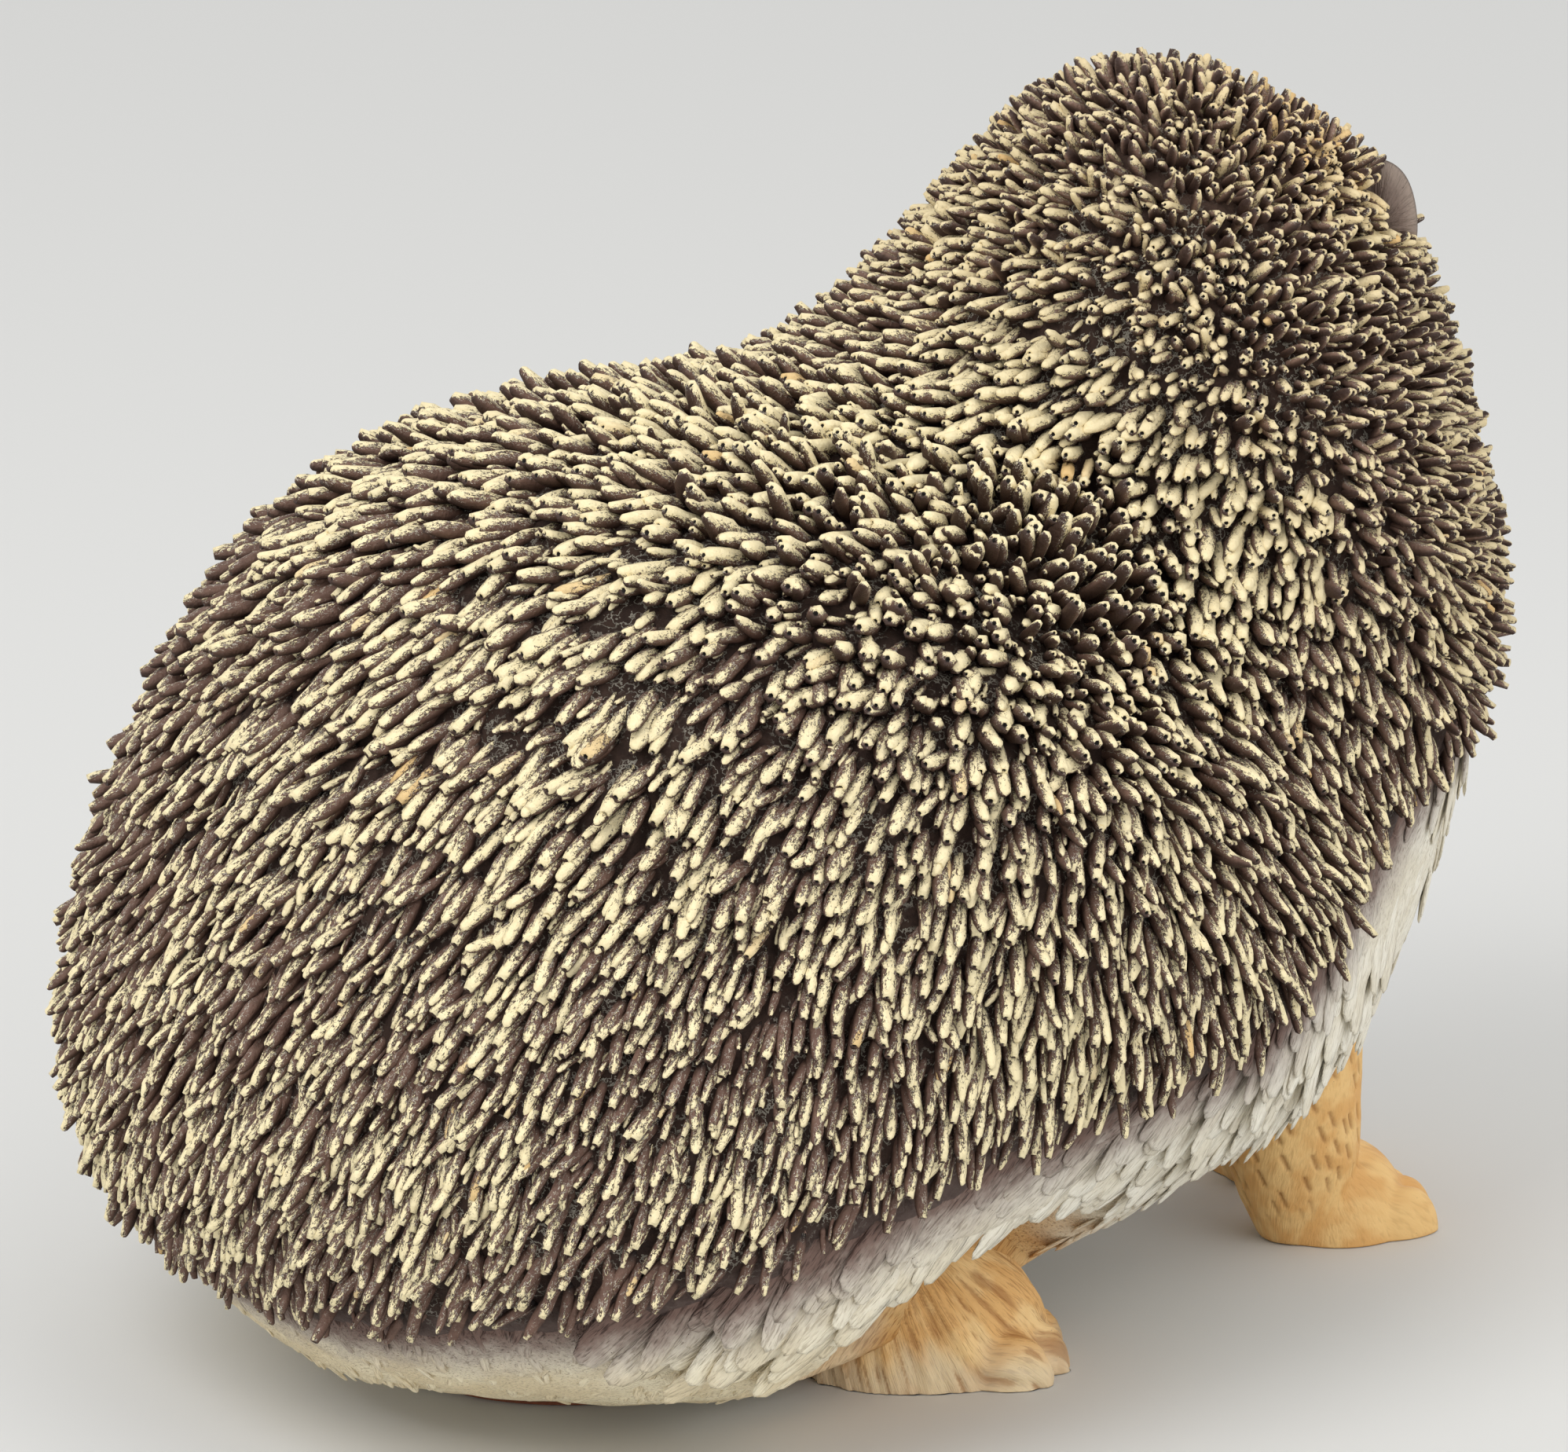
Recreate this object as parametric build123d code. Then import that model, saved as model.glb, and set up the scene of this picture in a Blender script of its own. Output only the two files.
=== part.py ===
from build123d import *
import os
import numpy as np

os.makedirs("parts", exist_ok=True)

# Hollow cast figurine of a sitting hedgehog, in millimetres. It faces -Y with its head turned to
# its left (+X) and held up. The origin is the centre of the flat underside, on the ground.

# Body: parallel elliptical sections, tilted back, carried along the spine from rump to crown.
SPINE_START = -41.2
SPINE_LENGTH = 257.5
BODY_HALF_WIDTH = 108
BODY_HALF_DEPTH = 88
SPINE_RISE = 60
SPINE_SWAY = 24
SECTION_TILT_DEG = 45
DOME_POWER_SHARE = 0.8
STATION_SHARES = [0, 0.12, 0.26, 0.40, 0.52, 0.62, 0.72, 0.84, 0.93, 1]
WIDTH_SHARES = [0.83, 0.945, 1, 0.89, 0.83, 0.63, 0.6, 0.51, 0.54, 0.66]
DEPTH_SHARES = [0.61, 0.72, 0.875, 0.99, 1.01, 0.9, 0.872, 0.97, 0.935, 0.805]
RISE_SHARES = [1, 1.145, 0.995, 0.853, 0.53, 0.232, 0.356, 0.6, 0.753, 0.8]
SWAY_SHARES = [0.125, 0.083, 0.083, 0, -0.02, 0.094, 0.332, 0.413, 0.68, 1.18]
LOFT_SHARES = [0.004, 0.016, 0.05, 0.11, 0.18, 0.26, 0.34, 0.42, 0.49, 0.55, 0.61, 0.67, 0.73, 0.79,
               0.85, 0.91, 0.96, 0.984, 0.996]
NORMAL_STEP_SHARE = 0.002
CASTING_WALL = 5

# Flat foot of the casting, with the plate that closes it, its bung and the pad under it.
BASE_HALF_WIDTH = 30
BASE_HALF_LENGTH = 44
SKIRT_FLARE = 13
SKIRT_HEIGHT = 11
PAD_THICKNESS = 1
PAD_MARGIN = 0.5
PLATE_THICKNESS = 4
PLATE_BORDER = 6
PLATE_LEDGE = 3
PLATE_CLEARANCE = 0.2
VENT_RADIUS = 7
BUNG_FLANGE = 3
BUNG_FLANGE_THICKNESS = 1.5
BUNG_CLEARANCE = 0.1

# Coat: a backing skin over the upper body with stout quills standing on it.
COAT_BACKING = 3
COAT_PITCH = 10.4
QUILL_LENGTH = 8
QUILL_ROOT_WIDTH = 5.2
QUILL_TIP_WIDTH = 2.6
QUILL_SINK = 1.2
QUILL_LEAN_DEG = 36
QUILL_FALL_SHARES = (0, 0.35, -1)
QUILL_BORDER = 4
COAT_ROWS = 26
ROW_OFFSET_SHARES = (0.36, 0.64)
PART_LINE = -2
RUMP_ROWS = 8
FLANK_ROWS = 15
SHOULDER_ROWS = 20

# Lower edge of the coat, seen from the side: (forward reach, height), front to back.
COAT_REACH = 160
COAT_EDGE_HEIGHT = 120
COAT_EDGE_SHARES = [(-1.25, 1.12), (-1.02, 1), (-0.675, 0.7), (-0.39, 0.508), (0.08, 0.404),
                    (0.45, 0.246), (0.65, 0.117), (1.25, 0.117)]
COAT_OVER_SHARES = [(1.25, 3), (-1.25, 3)]

# Head: where its middle lies along the spine, and the way that it faces.
HEAD_STATION_SHARE = 0.8
HEAD_TURN_DEG = 46
CHEST_TURN_DEG = 15
CHEST_REACH = 140
FACE_SHIFT = 8
FACE_SINK = 5
FACE_SETBACK = 16
FACE_WINDOW = 38
FACE_DROP = 38

# Face: sections from the brow to the end of the snout, each a share of the brow section.
BROW_HALF_WIDTH = 32
BROW_HALF_HEIGHT = 33
SNOUT_REACH = 76
SNOUT_DROP = 10
SNOUT_SHARES = [(0.08, 0.86, 0.86, 0), (0.36, 1, 1, 0.1), (0.52, 0.78, 0.74, 0.45),
                (0.68, 0.52, 0.5, 0.8), (0.82, 0.35, 0.34, 0.95), (0.94, 0.25, 0.24, 1), (1, 0.17, 0.16, 1)]
NOSE_RADIUS = 7
EYE_RADIUS = 5
EYE_REACH_SHARE = 0.57
EYE_SPREAD_DEG = 48
EYE_SINK_SHARE = 0.25

# Ears: small cupped ovals on the sides of the head.
LEFT_EAR_STATION_SHARE = 0.753
LEFT_EAR_ANGLE_DEG = 44
RIGHT_EAR_STATION_SHARE = 0.965
RIGHT_EAR_ANGLE_DEG = 196
EAR_HALF_HEIGHT = 10
EAR_HALF_WIDTH = 7
EAR_HALF_THICKNESS = 3.5
EAR_CUP_DEPTH = 2
EAR_STAND = 2.5

# Forelegs: columns from the paw to the chest. The left one stands further forward.
LEG_RADIUS = 12.4
LEG_HEIGHT = 74
LEG_LEAN = 12
LEG_SHARES = [(0, 0.5), (0.1, 0.76), (0.22, 0.96), (0.6, 1.02), (1, 1.12)]
PAW_REACH = 9
PAW_HALF_LENGTH = 12.5
PAW_HALF_WIDTH = 11
PAW_HEIGHT = 13
TOE_LENGTH = 7
TOE_HALF_WIDTH = 3.6
TOE_HEIGHT = 7.5
RIGHT_LEG_SIDE = -21.5
RIGHT_LEG_FORWARD = 118
RIGHT_PAW_TURN_DEG = -6
LEFT_LEG_SIDE = 5
LEFT_LEG_FORWARD = 134
LEFT_PAW_TURN_DEG = 30

# Hind feet: low lumps under the flanks with the toes outwards.
HIND_SIDE = 38.5
HIND_FORWARD = 28
HIND_HALF_LENGTH = 21
HIND_HALF_WIDTH = 14
HIND_HEIGHT = 23
HIND_TURN_DEG = 29
HIND_TOE_LENGTH = 8
HIND_TOE_HALF_WIDTH = 4.2
HIND_TOE_HEIGHT = 10
TOE_SPREAD_SHARES = (-0.72, -0.25, 0.25, 0.72)
TOE_SET_SHARES = (0.62, 0.8, 0.8, 0.62)

CUT_REACH = 400
RING_POINTS = 12
ARC_STEPS = 400

tilt = np.radians(SECTION_TILT_DEG)
SIDE = np.array([1.0, 0, 0])
ALONG = np.array([0, -np.cos(tilt), np.sin(tilt)])
ACROSS = np.array([0, np.sin(tilt), np.cos(tilt)])
UP = np.array([0, 0, 1.0])


def spline(shares, at):
    """Natural cubic spline through one row of shares at the stations."""
    x, y = np.array(STATION_SHARES, float), np.array(shares, float)
    gap, rise = np.diff(x), np.diff(y) / np.diff(x)
    system, right = np.eye(len(x)), np.zeros(len(x))
    for i in range(1, len(x) - 1):
        system[i, i - 1:i + 2] = gap[i - 1], 2 * (gap[i - 1] + gap[i]), gap[i]
        right[i] = 6 * (rise[i] - rise[i - 1])
    bend = np.linalg.solve(system, right)
    i = int(np.clip(np.searchsorted(x, at) - 1, 0, len(x) - 2))
    before, after, g = at - x[i], x[i + 1] - at, gap[i]
    return ((bend[i] * after**3 + bend[i + 1] * before**3) / (6 * g)
            + (y[i] / g - bend[i] * g / 6) * after + (y[i + 1] / g - bend[i + 1] * g / 6) * before)


def section(share, inset=0):
    """Centre, half width and half depth of the body section at a share of the spine."""
    dome = np.sin(np.pi * share) ** DOME_POWER_SHARE
    run = (1 - np.cos(np.pi * share)) / 2
    station = SPINE_START + inset + (SPINE_LENGTH - 2 * inset) * run
    centre = (-SPINE_SWAY * spline(SWAY_SHARES, share) * SIDE + station * ALONG
              + SPINE_RISE * spline(RISE_SHARES, share) * ACROSS)
    half_width = (BODY_HALF_WIDTH * spline(WIDTH_SHARES, share) - inset) * dome
    half_depth = (BODY_HALF_DEPTH * spline(DEPTH_SHARES, share) - inset) * dome
    return centre, half_width, half_depth


def skin_point(share, angle, inset=0):
    """Point of the body's skin, the angle running round the section from the +X side over the back."""
    centre, half_width, half_depth = section(share, inset)
    return centre + half_width * np.cos(angle) * SIDE + half_depth * np.sin(angle) * ACROSS


def skin_normal(share, angle):
    """Outward unit normal of the skin, from the cross product of its two tangents."""
    step = NORMAL_STEP_SHARE
    along = skin_point(share + step, angle) - skin_point(share - step, angle)
    around = skin_point(share, angle + step) - skin_point(share, angle - step)
    normal = np.cross(around, along)
    return normal / np.linalg.norm(normal)


def ring(centre, u, v):
    """Closed smooth oval about a centre, with the half axes u and v as vectors, seamed opposite to v."""
    angles = [2 * np.pi * (i / RING_POINTS - 1 / 4) for i in range(RING_POINTS)]
    points = [Vector(*(centre + np.cos(a) * u + np.sin(a) * v)) for a in angles]
    return Wire([Edge.make_spline(points, periodic=True)])


def body_solid(inset):
    """The whole body form, drawn in by an inset all round."""
    rings = []
    for share in LOFT_SHARES:
        centre, half_width, half_depth = section(share, inset)
        rings.append(ring(centre, half_width * SIDE, half_depth * ACROSS))
    return Solid.make_loft(rings)


def egg(half_x, half_y, half_z):
    """Ellipsoid about the origin."""
    return scale(Sphere(1), by=(half_x, half_y, half_z))


def oval_block(half_x, half_y, low, high, flare=0):
    """Upright oval block between two heights, widening by the flare at its top."""
    base = ring(low * UP, half_x * SIDE, half_y * np.array([0, 1.0, 0]))
    top = ring(high * UP, (half_x + flare) * SIDE, (half_y + flare) * np.array([0, 1.0, 0]))
    return Solid.make_loft([base, top], ruled=True)


def above(height):
    """Everything above a height, as a large block."""
    return Pos(0, 0, height + CUT_REACH / 2) * Box(2 * CUT_REACH, 2 * CUT_REACH, CUT_REACH)


def heading(degrees):
    """Unit vector on the ground, turned from straight ahead (-Y) to the hedgehog's left."""
    turn = np.radians(degrees)
    return np.array([np.sin(turn), -np.cos(turn), 0])


def ahead_of(point, degrees, distance, half_width):
    """Everything beyond a distance ahead of a point along a heading, over a width, from the point up."""
    way = heading(degrees)
    centre = point + (distance + CUT_REACH / 2) * way + CUT_REACH / 2 * UP
    frame = Plane(origin=tuple(centre), x_dir=tuple(np.cross(UP, way)), z_dir=tuple(UP))
    return frame * Box(2 * half_width, CUT_REACH, CUT_REACH)


skin = body_solid(0)
core = body_solid(COAT_BACKING)
hollow = body_solid(COAT_BACKING + CASTING_WALL)

# Coat region: above the lower edge, clear of the chest and of the window for the face.
face_way = heading(HEAD_TURN_DEG)
face_side = np.cross(UP, face_way)
head_centre = section(HEAD_STATION_SHARE)[0] + FACE_SHIFT * face_side - FACE_SINK * UP
ears_at = [skin_point(LEFT_EAR_STATION_SHARE, np.radians(LEFT_EAR_ANGLE_DEG)),
           skin_point(RIGHT_EAR_STATION_SHARE, np.radians(RIGHT_EAR_ANGLE_DEG))]
edge_points = [(COAT_REACH * y, COAT_EDGE_HEIGHT * z) for y, z in COAT_EDGE_SHARES + COAT_OVER_SHARES]
region = extrude(Plane.YZ * make_face(Polyline(*edge_points, close=True)), amount=CUT_REACH, both=True)
region -= ahead_of(np.zeros(3), CHEST_TURN_DEG, CHEST_REACH, CUT_REACH)
region -= ahead_of(head_centre - FACE_DROP * UP, HEAD_TURN_DEG, FACE_SETBACK, FACE_WINDOW)
coat = (skin - core) & region


def coat_edge(y):
    """Height of the coat's lower edge at a place along the body."""
    edge = edge_points[:len(COAT_EDGE_SHARES)]
    return np.interp(y, [p[0] for p in edge], [p[1] for p in edge])


def on_coat(point, border):
    """Whether a place lies inside the coat region by at least a border."""
    from_head = point - head_centre
    beside = abs(np.dot(from_head, face_side))
    in_window = (np.dot(from_head, face_way) > FACE_SETBACK - QUILL_LENGTH and beside < FACE_WINDOW + border
                 and from_head[2] > -FACE_DROP - border)
    on_chest = np.dot(point, heading(CHEST_TURN_DEG)) > CHEST_REACH - border
    return point[2] > coat_edge(point[1]) + border and not in_window and not on_chest


def quill(share, angle):
    """One four-sided quill: it leans from the skin's normal towards the tail and the ground."""
    normal = skin_normal(share, angle)
    fall = np.array(QUILL_FALL_SHARES)
    fall = fall - np.dot(fall, normal) * normal
    fall /= np.linalg.norm(fall)
    lean = np.radians(QUILL_LEAN_DEG)
    way = np.cos(lean) * normal + np.sin(lean) * fall
    side = np.cross(way, fall)
    side /= np.linalg.norm(side)
    other = np.cross(way, side)
    root = skin_point(share, angle) - QUILL_SINK * way
    tip = skin_point(share, angle) + QUILL_LENGTH * way
    ends = []
    for centre, half in ((root, QUILL_ROOT_WIDTH / 2), (tip, QUILL_TIP_WIDTH / 2)):
        corners = [centre + half * (i * side + j * other) for i, j in ((1, 1), (-1, 1), (-1, -1), (1, -1))]
        ends.append(Wire.make_polygon([Vector(*corner) for corner in corners], close=True))
    return Solid.make_loft(ends, ruled=True)


def row_places(row):
    """Places of one row's quills: the row crosses the spine and steps out both ways from the parting."""
    share = (row + 0.5) / COAT_ROWS
    centre, half_width, half_depth = section(share)
    parting = np.arccos(np.clip((PART_LINE - centre[0]) / half_width, -1, 1))
    turns = np.linspace(0, np.pi, ARC_STEPS)
    places = []
    for direction in (-1, 1):
        angles = parting + direction * turns
        runs = np.hypot(half_width * np.sin(angles), half_depth * np.cos(angles)) * turns[1]
        travelled = np.cumsum(runs)
        due = COAT_PITCH * (ROW_OFFSET_SHARES[row % 2] + np.arange(int(travelled[-1] / COAT_PITCH)))
        for angle in np.interp(due, travelled, angles):
            point = skin_point(share, angle)
            from_ears = min(np.linalg.norm(point - ear) for ear in ears_at)
            if on_coat(point, QUILL_BORDER) and from_ears > EAR_HALF_HEIGHT + QUILL_BORDER:
                places.append((share, angle, point[0] < PART_LINE))
    return places


def coat_slice(first_row, last_row, sides):
    """Slice of the coat between two section planes, on one or both sides, with its quills."""
    stations = []
    for row in (first_row, last_row):
        along = section(row / COAT_ROWS)[0]
        stations.append(np.dot(along, ALONG))
    if first_row == 0:
        stations[0] -= CUT_REACH
    if last_row == COAT_ROWS:
        stations[1] += CUT_REACH
    low, high = stations
    corners = [s * ALONG + q * CUT_REACH * ACROSS for s, q in ((low, -1), (low, 1), (high, 1), (high, -1))]
    slab = extrude(Plane.YZ * make_face(Polyline(*[(c[1], c[2]) for c in corners], close=True)),
                   amount=CUT_REACH, both=True)
    if len(sides) == 1:
        middle = PART_LINE + (-CUT_REACH if sides[0] else CUT_REACH)
        slab &= Pos(middle, 0, 0) * Box(2 * CUT_REACH, 2 * CUT_REACH, 2 * CUT_REACH)
    backing = coat & slab
    quills = [quill(share, angle) for row in range(first_row, last_row)
              for share, angle, right in row_places(row) if right in sides]
    return backing.fuse(*quills), len(quills)


slices = {"coat_rump": (0, RUMP_ROWS, (True, False)),
          "coat_right_flank": (RUMP_ROWS, FLANK_ROWS, (True,)),
          "coat_left_flank": (RUMP_ROWS, FLANK_ROWS, (False,)),
          "coat_right_shoulder": (FLANK_ROWS, SHOULDER_ROWS, (True,)),
          "coat_left_shoulder": (FLANK_ROWS, SHOULDER_ROWS, (False,)),
          "coat_crown": (SHOULDER_ROWS, COAT_ROWS, (True, False))}
parts = {}
total = 0
for name, (first, last, sides) in slices.items():
    parts[name], count = coat_slice(first, last, sides)
    total += count
print("quills", total)

# Casting: the whole body under the coat, hollow, with a flared flat foot and a rebate for the plate.
floor = above(PAD_THICKNESS)
flare = oval_block(BASE_HALF_WIDTH, BASE_HALF_LENGTH, 0, SKIRT_HEIGHT, SKIRT_FLARE)
solid_body = (skin + flare) & floor
plate_half_width = BASE_HALF_WIDTH - PLATE_BORDER
plate_half_length = BASE_HALF_LENGTH - PLATE_BORDER
plate_top = PAD_THICKNESS + PLATE_THICKNESS
hollow_floor = above(plate_top + CASTING_WALL / 2)
core_hole = oval_block(plate_half_width - PLATE_LEDGE, plate_half_length - PLATE_LEDGE,
                       0, plate_top + 2 * CASTING_WALL)
rebate = oval_block(plate_half_width, plate_half_length, 0, plate_top)
parts["body"] = solid_body - coat - (hollow & hollow_floor) - core_hole - rebate

plate = oval_block(plate_half_width - PLATE_CLEARANCE, plate_half_length - PLATE_CLEARANCE,
                   PAD_THICKNESS, plate_top)
flange_radius = VENT_RADIUS + BUNG_FLANGE
flange_top = PAD_THICKNESS + BUNG_FLANGE_THICKNESS


def upright(radius, low, high):
    """Round upright block on the origin's axis."""
    return Pos(0, 0, (low + high) / 2) * Cylinder(radius, high - low)


parts["base_plate"] = (plate - upright(VENT_RADIUS + BUNG_CLEARANCE, 0, plate_top + CASTING_WALL)
                       - upright(flange_radius + BUNG_CLEARANCE, 0, flange_top))
parts["vent_bung"] = (upright(VENT_RADIUS, flange_top, plate_top)
                      + upright(flange_radius, PAD_THICKNESS, flange_top))
parts["base_pad"] = oval_block(BASE_HALF_WIDTH - PAD_MARGIN, BASE_HALF_LENGTH - PAD_MARGIN,
                               0, PAD_THICKNESS)

# Face: lofted from the brow to the snout along the way the head faces, seated on the body's skin.
face_rings = []
for reach, width, height, drop in SNOUT_SHARES:
    centre = head_centre + reach * SNOUT_REACH * face_way - drop * SNOUT_DROP * UP
    face_rings.append(ring(centre, width * BROW_HALF_WIDTH * face_side, height * BROW_HALF_HEIGHT * UP))
face_form = Solid.make_loft(face_rings)
nose_at = head_centre + SNOUT_REACH * face_way - SNOUT_DROP * UP
nose_frame = Plane(origin=tuple(nose_at), x_dir=tuple(face_way), z_dir=tuple(UP))
nose_form = nose_frame * egg(NOSE_RADIUS, NOSE_RADIUS, NOSE_RADIUS)


def face_surface(reach, spread_deg):
    """Point of the face's skin at a share of the snout's reach, the spread turning down from the top."""
    reaches = [s[0] for s in SNOUT_SHARES]
    width = BROW_HALF_WIDTH * np.interp(reach, reaches, [s[1] for s in SNOUT_SHARES])
    height = BROW_HALF_HEIGHT * np.interp(reach, reaches, [s[2] for s in SNOUT_SHARES])
    drop = SNOUT_DROP * np.interp(reach, reaches, [s[3] for s in SNOUT_SHARES])
    spread = np.radians(spread_deg)
    outward = width * np.sin(spread) * face_side + height * np.cos(spread) * UP
    centre = head_centre + reach * SNOUT_REACH * face_way - drop * UP
    return centre + outward * (1 - EYE_SINK_SHARE * EYE_RADIUS / np.linalg.norm(outward))


eyes = {}
for name, spread in (("left_eye", EYE_SPREAD_DEG), ("right_eye", -EYE_SPREAD_DEG)):
    eyes[name] = Pos(*face_surface(EYE_REACH_SHARE, spread)) * Sphere(EYE_RADIUS)
face = face_form - skin - nose_form
for eye in eyes.values():
    face -= eye
parts["face"] = face
parts["nose"] = nose_form
parts.update(eyes)

# Ears: cupped ovals standing out of the skin at the sides of the head, open towards the face.
ear_form = egg(EAR_HALF_WIDTH, EAR_HALF_THICKNESS, EAR_HALF_HEIGHT)
for name, root, outward in (("left_ear", ears_at[0], face_side),
                            ("right_ear", ears_at[1], -face_side)):
    frame = Plane(origin=tuple(root + EAR_STAND * outward), x_dir=tuple(face_side), z_dir=tuple(UP))
    parts[name] = frame * ear_form - frame * Pos(0, -EAR_CUP_DEPTH, 0) * ear_form - skin

# Legs and feet, seated against the casting and flat on the ground.

def paw(centre, turn_deg, half_length, half_width, height, toe):
    """Flat-bottomed foot on the ground with four rounded toes along its front."""
    toe_length, toe_half_width, toe_height = toe
    frame = Plane(origin=tuple(centre), x_dir=tuple(heading(turn_deg)), z_dir=tuple(UP))
    form = frame * egg(half_length, half_width, height)
    for spread, set_share in zip(TOE_SPREAD_SHARES, TOE_SET_SHARES):
        toe_place = Pos(set_share * half_length, spread * half_width, 0)
        form += frame * toe_place * egg(toe_length, toe_half_width, toe_height)
    return form


def foreleg(side, forward, turn_deg):
    """Column leaning back into the chest, with a paw at its foot, cut flat on the ground."""
    foot = np.array([side, -forward, 0])
    rings = []
    for rise, girth in LEG_SHARES:
        centre = foot + rise * (LEG_HEIGHT * UP - LEG_LEAN * heading(0))
        radius = girth * LEG_RADIUS
        rings.append(ring(centre, radius * SIDE, radius * heading(180)))
    front = paw(foot + PAW_REACH * heading(turn_deg), turn_deg, PAW_HALF_LENGTH, PAW_HALF_WIDTH,
                PAW_HEIGHT, (TOE_LENGTH, TOE_HALF_WIDTH, TOE_HEIGHT))
    return (Solid.make_loft(rings) + front) & above(0)


def hind_foot(side):
    """Low foot under the flank; the side is 1 on the left and -1 on the right."""
    centre = np.array([side * HIND_SIDE, -HIND_FORWARD, 0])
    foot = paw(centre, side * HIND_TURN_DEG, HIND_HALF_LENGTH, HIND_HALF_WIDTH, HIND_HEIGHT,
               (HIND_TOE_LENGTH, HIND_TOE_HALF_WIDTH, HIND_TOE_HEIGHT))
    return foot & above(0)


casting_form = skin + flare
parts["left_foreleg"] = foreleg(LEFT_LEG_SIDE, LEFT_LEG_FORWARD, LEFT_PAW_TURN_DEG) - casting_form
parts["right_foreleg"] = foreleg(RIGHT_LEG_SIDE, RIGHT_LEG_FORWARD, RIGHT_PAW_TURN_DEG) - casting_form
parts["left_hind_foot"] = hind_foot(1) - casting_form
parts["right_hind_foot"] = hind_foot(-1) - casting_form

for name, part in parts.items():
    part.label = name
    print(name, "solids", len(part.solids()), "volume", round(part.volume))
    export_step(part, f"parts/{name}.step")
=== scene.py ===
import bpy
import numpy as np
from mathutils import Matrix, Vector


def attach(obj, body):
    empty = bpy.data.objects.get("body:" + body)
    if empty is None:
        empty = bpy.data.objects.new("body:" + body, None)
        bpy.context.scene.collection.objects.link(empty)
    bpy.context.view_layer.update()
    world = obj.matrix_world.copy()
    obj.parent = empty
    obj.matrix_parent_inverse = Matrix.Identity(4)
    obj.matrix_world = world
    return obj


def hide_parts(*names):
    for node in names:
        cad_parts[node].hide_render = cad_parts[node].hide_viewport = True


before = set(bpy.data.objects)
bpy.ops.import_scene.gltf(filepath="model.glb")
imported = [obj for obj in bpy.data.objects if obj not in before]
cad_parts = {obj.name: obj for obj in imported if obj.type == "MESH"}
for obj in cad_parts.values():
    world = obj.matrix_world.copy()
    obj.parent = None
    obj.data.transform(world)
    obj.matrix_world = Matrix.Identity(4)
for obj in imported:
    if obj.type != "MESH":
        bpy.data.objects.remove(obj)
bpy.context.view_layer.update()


# Casting: the hollow body of mineral-filled resin, poured in one mould, with its fur carved on the
# skirt, belly and chest. It is sprayed ivory, mauve-grey under the quills and warmer at the feet.
MM = 0.001
UP = np.array([0, 0, 1.0])
SIDE = np.array([1.0, 0, 0])
ALONG = np.array([0, -1, 1]) / np.sqrt(2)
ACROSS = np.array([0, 1, 1]) / np.sqrt(2)
SPINE_START, SPINE_LENGTH, SPINE_RISE, SPINE_SWAY = -41.2, 257.5, 60, 24
BODY_HALF_WIDTH, BODY_HALF_DEPTH, DOME_POWER = 108, 88, 0.8
STATIONS = [0, 0.12, 0.26, 0.40, 0.52, 0.62, 0.72, 0.84, 0.93, 1]
WIDTHS = [0.83, 0.945, 1, 0.89, 0.83, 0.63, 0.6, 0.51, 0.54, 0.66]
DEPTHS = [0.61, 0.72, 0.875, 0.99, 1.01, 0.9, 0.872, 0.97, 0.935, 0.805]
RISES = [1, 1.145, 0.995, 0.853, 0.53, 0.232, 0.356, 0.6, 0.753, 0.8]
SWAYS = [0.125, 0.083, 0.083, 0, -0.02, 0.094, 0.332, 0.413, 0.68, 1.18]
HEAD_STATION, HEAD_TURN, FACE_SETBACK, FACE_WINDOW, FACE_DROP = 0.8, 46, 16, 38, 38
CHEST_TURN, CHEST_REACH = 15, 140
COAT_EDGE = [(-200, 134.4), (-163.2, 120), (-108, 84), (-62.4, 61), (12.8, 48.5), (72, 29.5), (104, 14),
             (200, 14)]
NEAR_ENDS, SKIN_ENDS = (0.004, 0.996), (0.006, 0.994)
COAT_RECESS, FUR_RIPPLE = 1.3, 0.9
PLATE_HALF_WIDTH, PLATE_HALF_LENGTH, PLATE_CLEARANCE, UNDERSIDE = 29, 43, 5.2, 1.0
LATTICE_SIZE = 24
LATTICE = np.random.default_rng(7).random((LATTICE_SIZE,) * 3)


def moved(start, *steps):
    """A place moved by each amount in mm along its direction."""
    for amount, way in steps:
        start = start + np.asarray(amount)[..., None] * way
    return start


def carried(shares, a):
    """Natural cubic spline of a row of shares over the stations: the straight line between two stations
    plus cubes of the distances to both, weighted so that slope and bend run on from one to the next."""
    x, y = np.array(STATIONS, float), np.array(shares, float)
    gap, rise = np.diff(x), np.diff(y) / np.diff(x)
    system = (np.diag(np.r_[1, 2 * (gap[:-1] + gap[1:]), 1]) + np.diag(np.r_[gap[:-1], 0], -1)
              + np.diag(np.r_[0, gap[1:]], 1))
    bend = np.linalg.solve(system, np.r_[0, 6 * np.diff(rise), 0])
    i = np.clip(np.searchsorted(x, a) - 1, 0, len(x) - 2)
    before, after, g = a - x[i], x[i + 1] - a, gap[i]
    return ((bend[i] * after**3 + bend[i + 1] * before**3) / (6 * g)
            + (y[i] / g - bend[i] * g / 6) * after + (y[i + 1] / g - bend[i + 1] * g / 6) * before)


def spine(a):
    """Centre of the body's section at share a: a station along the tilted spine, run by a cosine, plus
    the section's own rise across the spine and sway to the right."""
    station = SPINE_START + SPINE_LENGTH * (1 - np.cos(np.pi * a)) / 2
    return moved(0, (-SPINE_SWAY * carried(SWAYS, a), SIDE), (station, ALONG),
                 (SPINE_RISE * carried(RISES, a), ACROSS))


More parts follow.
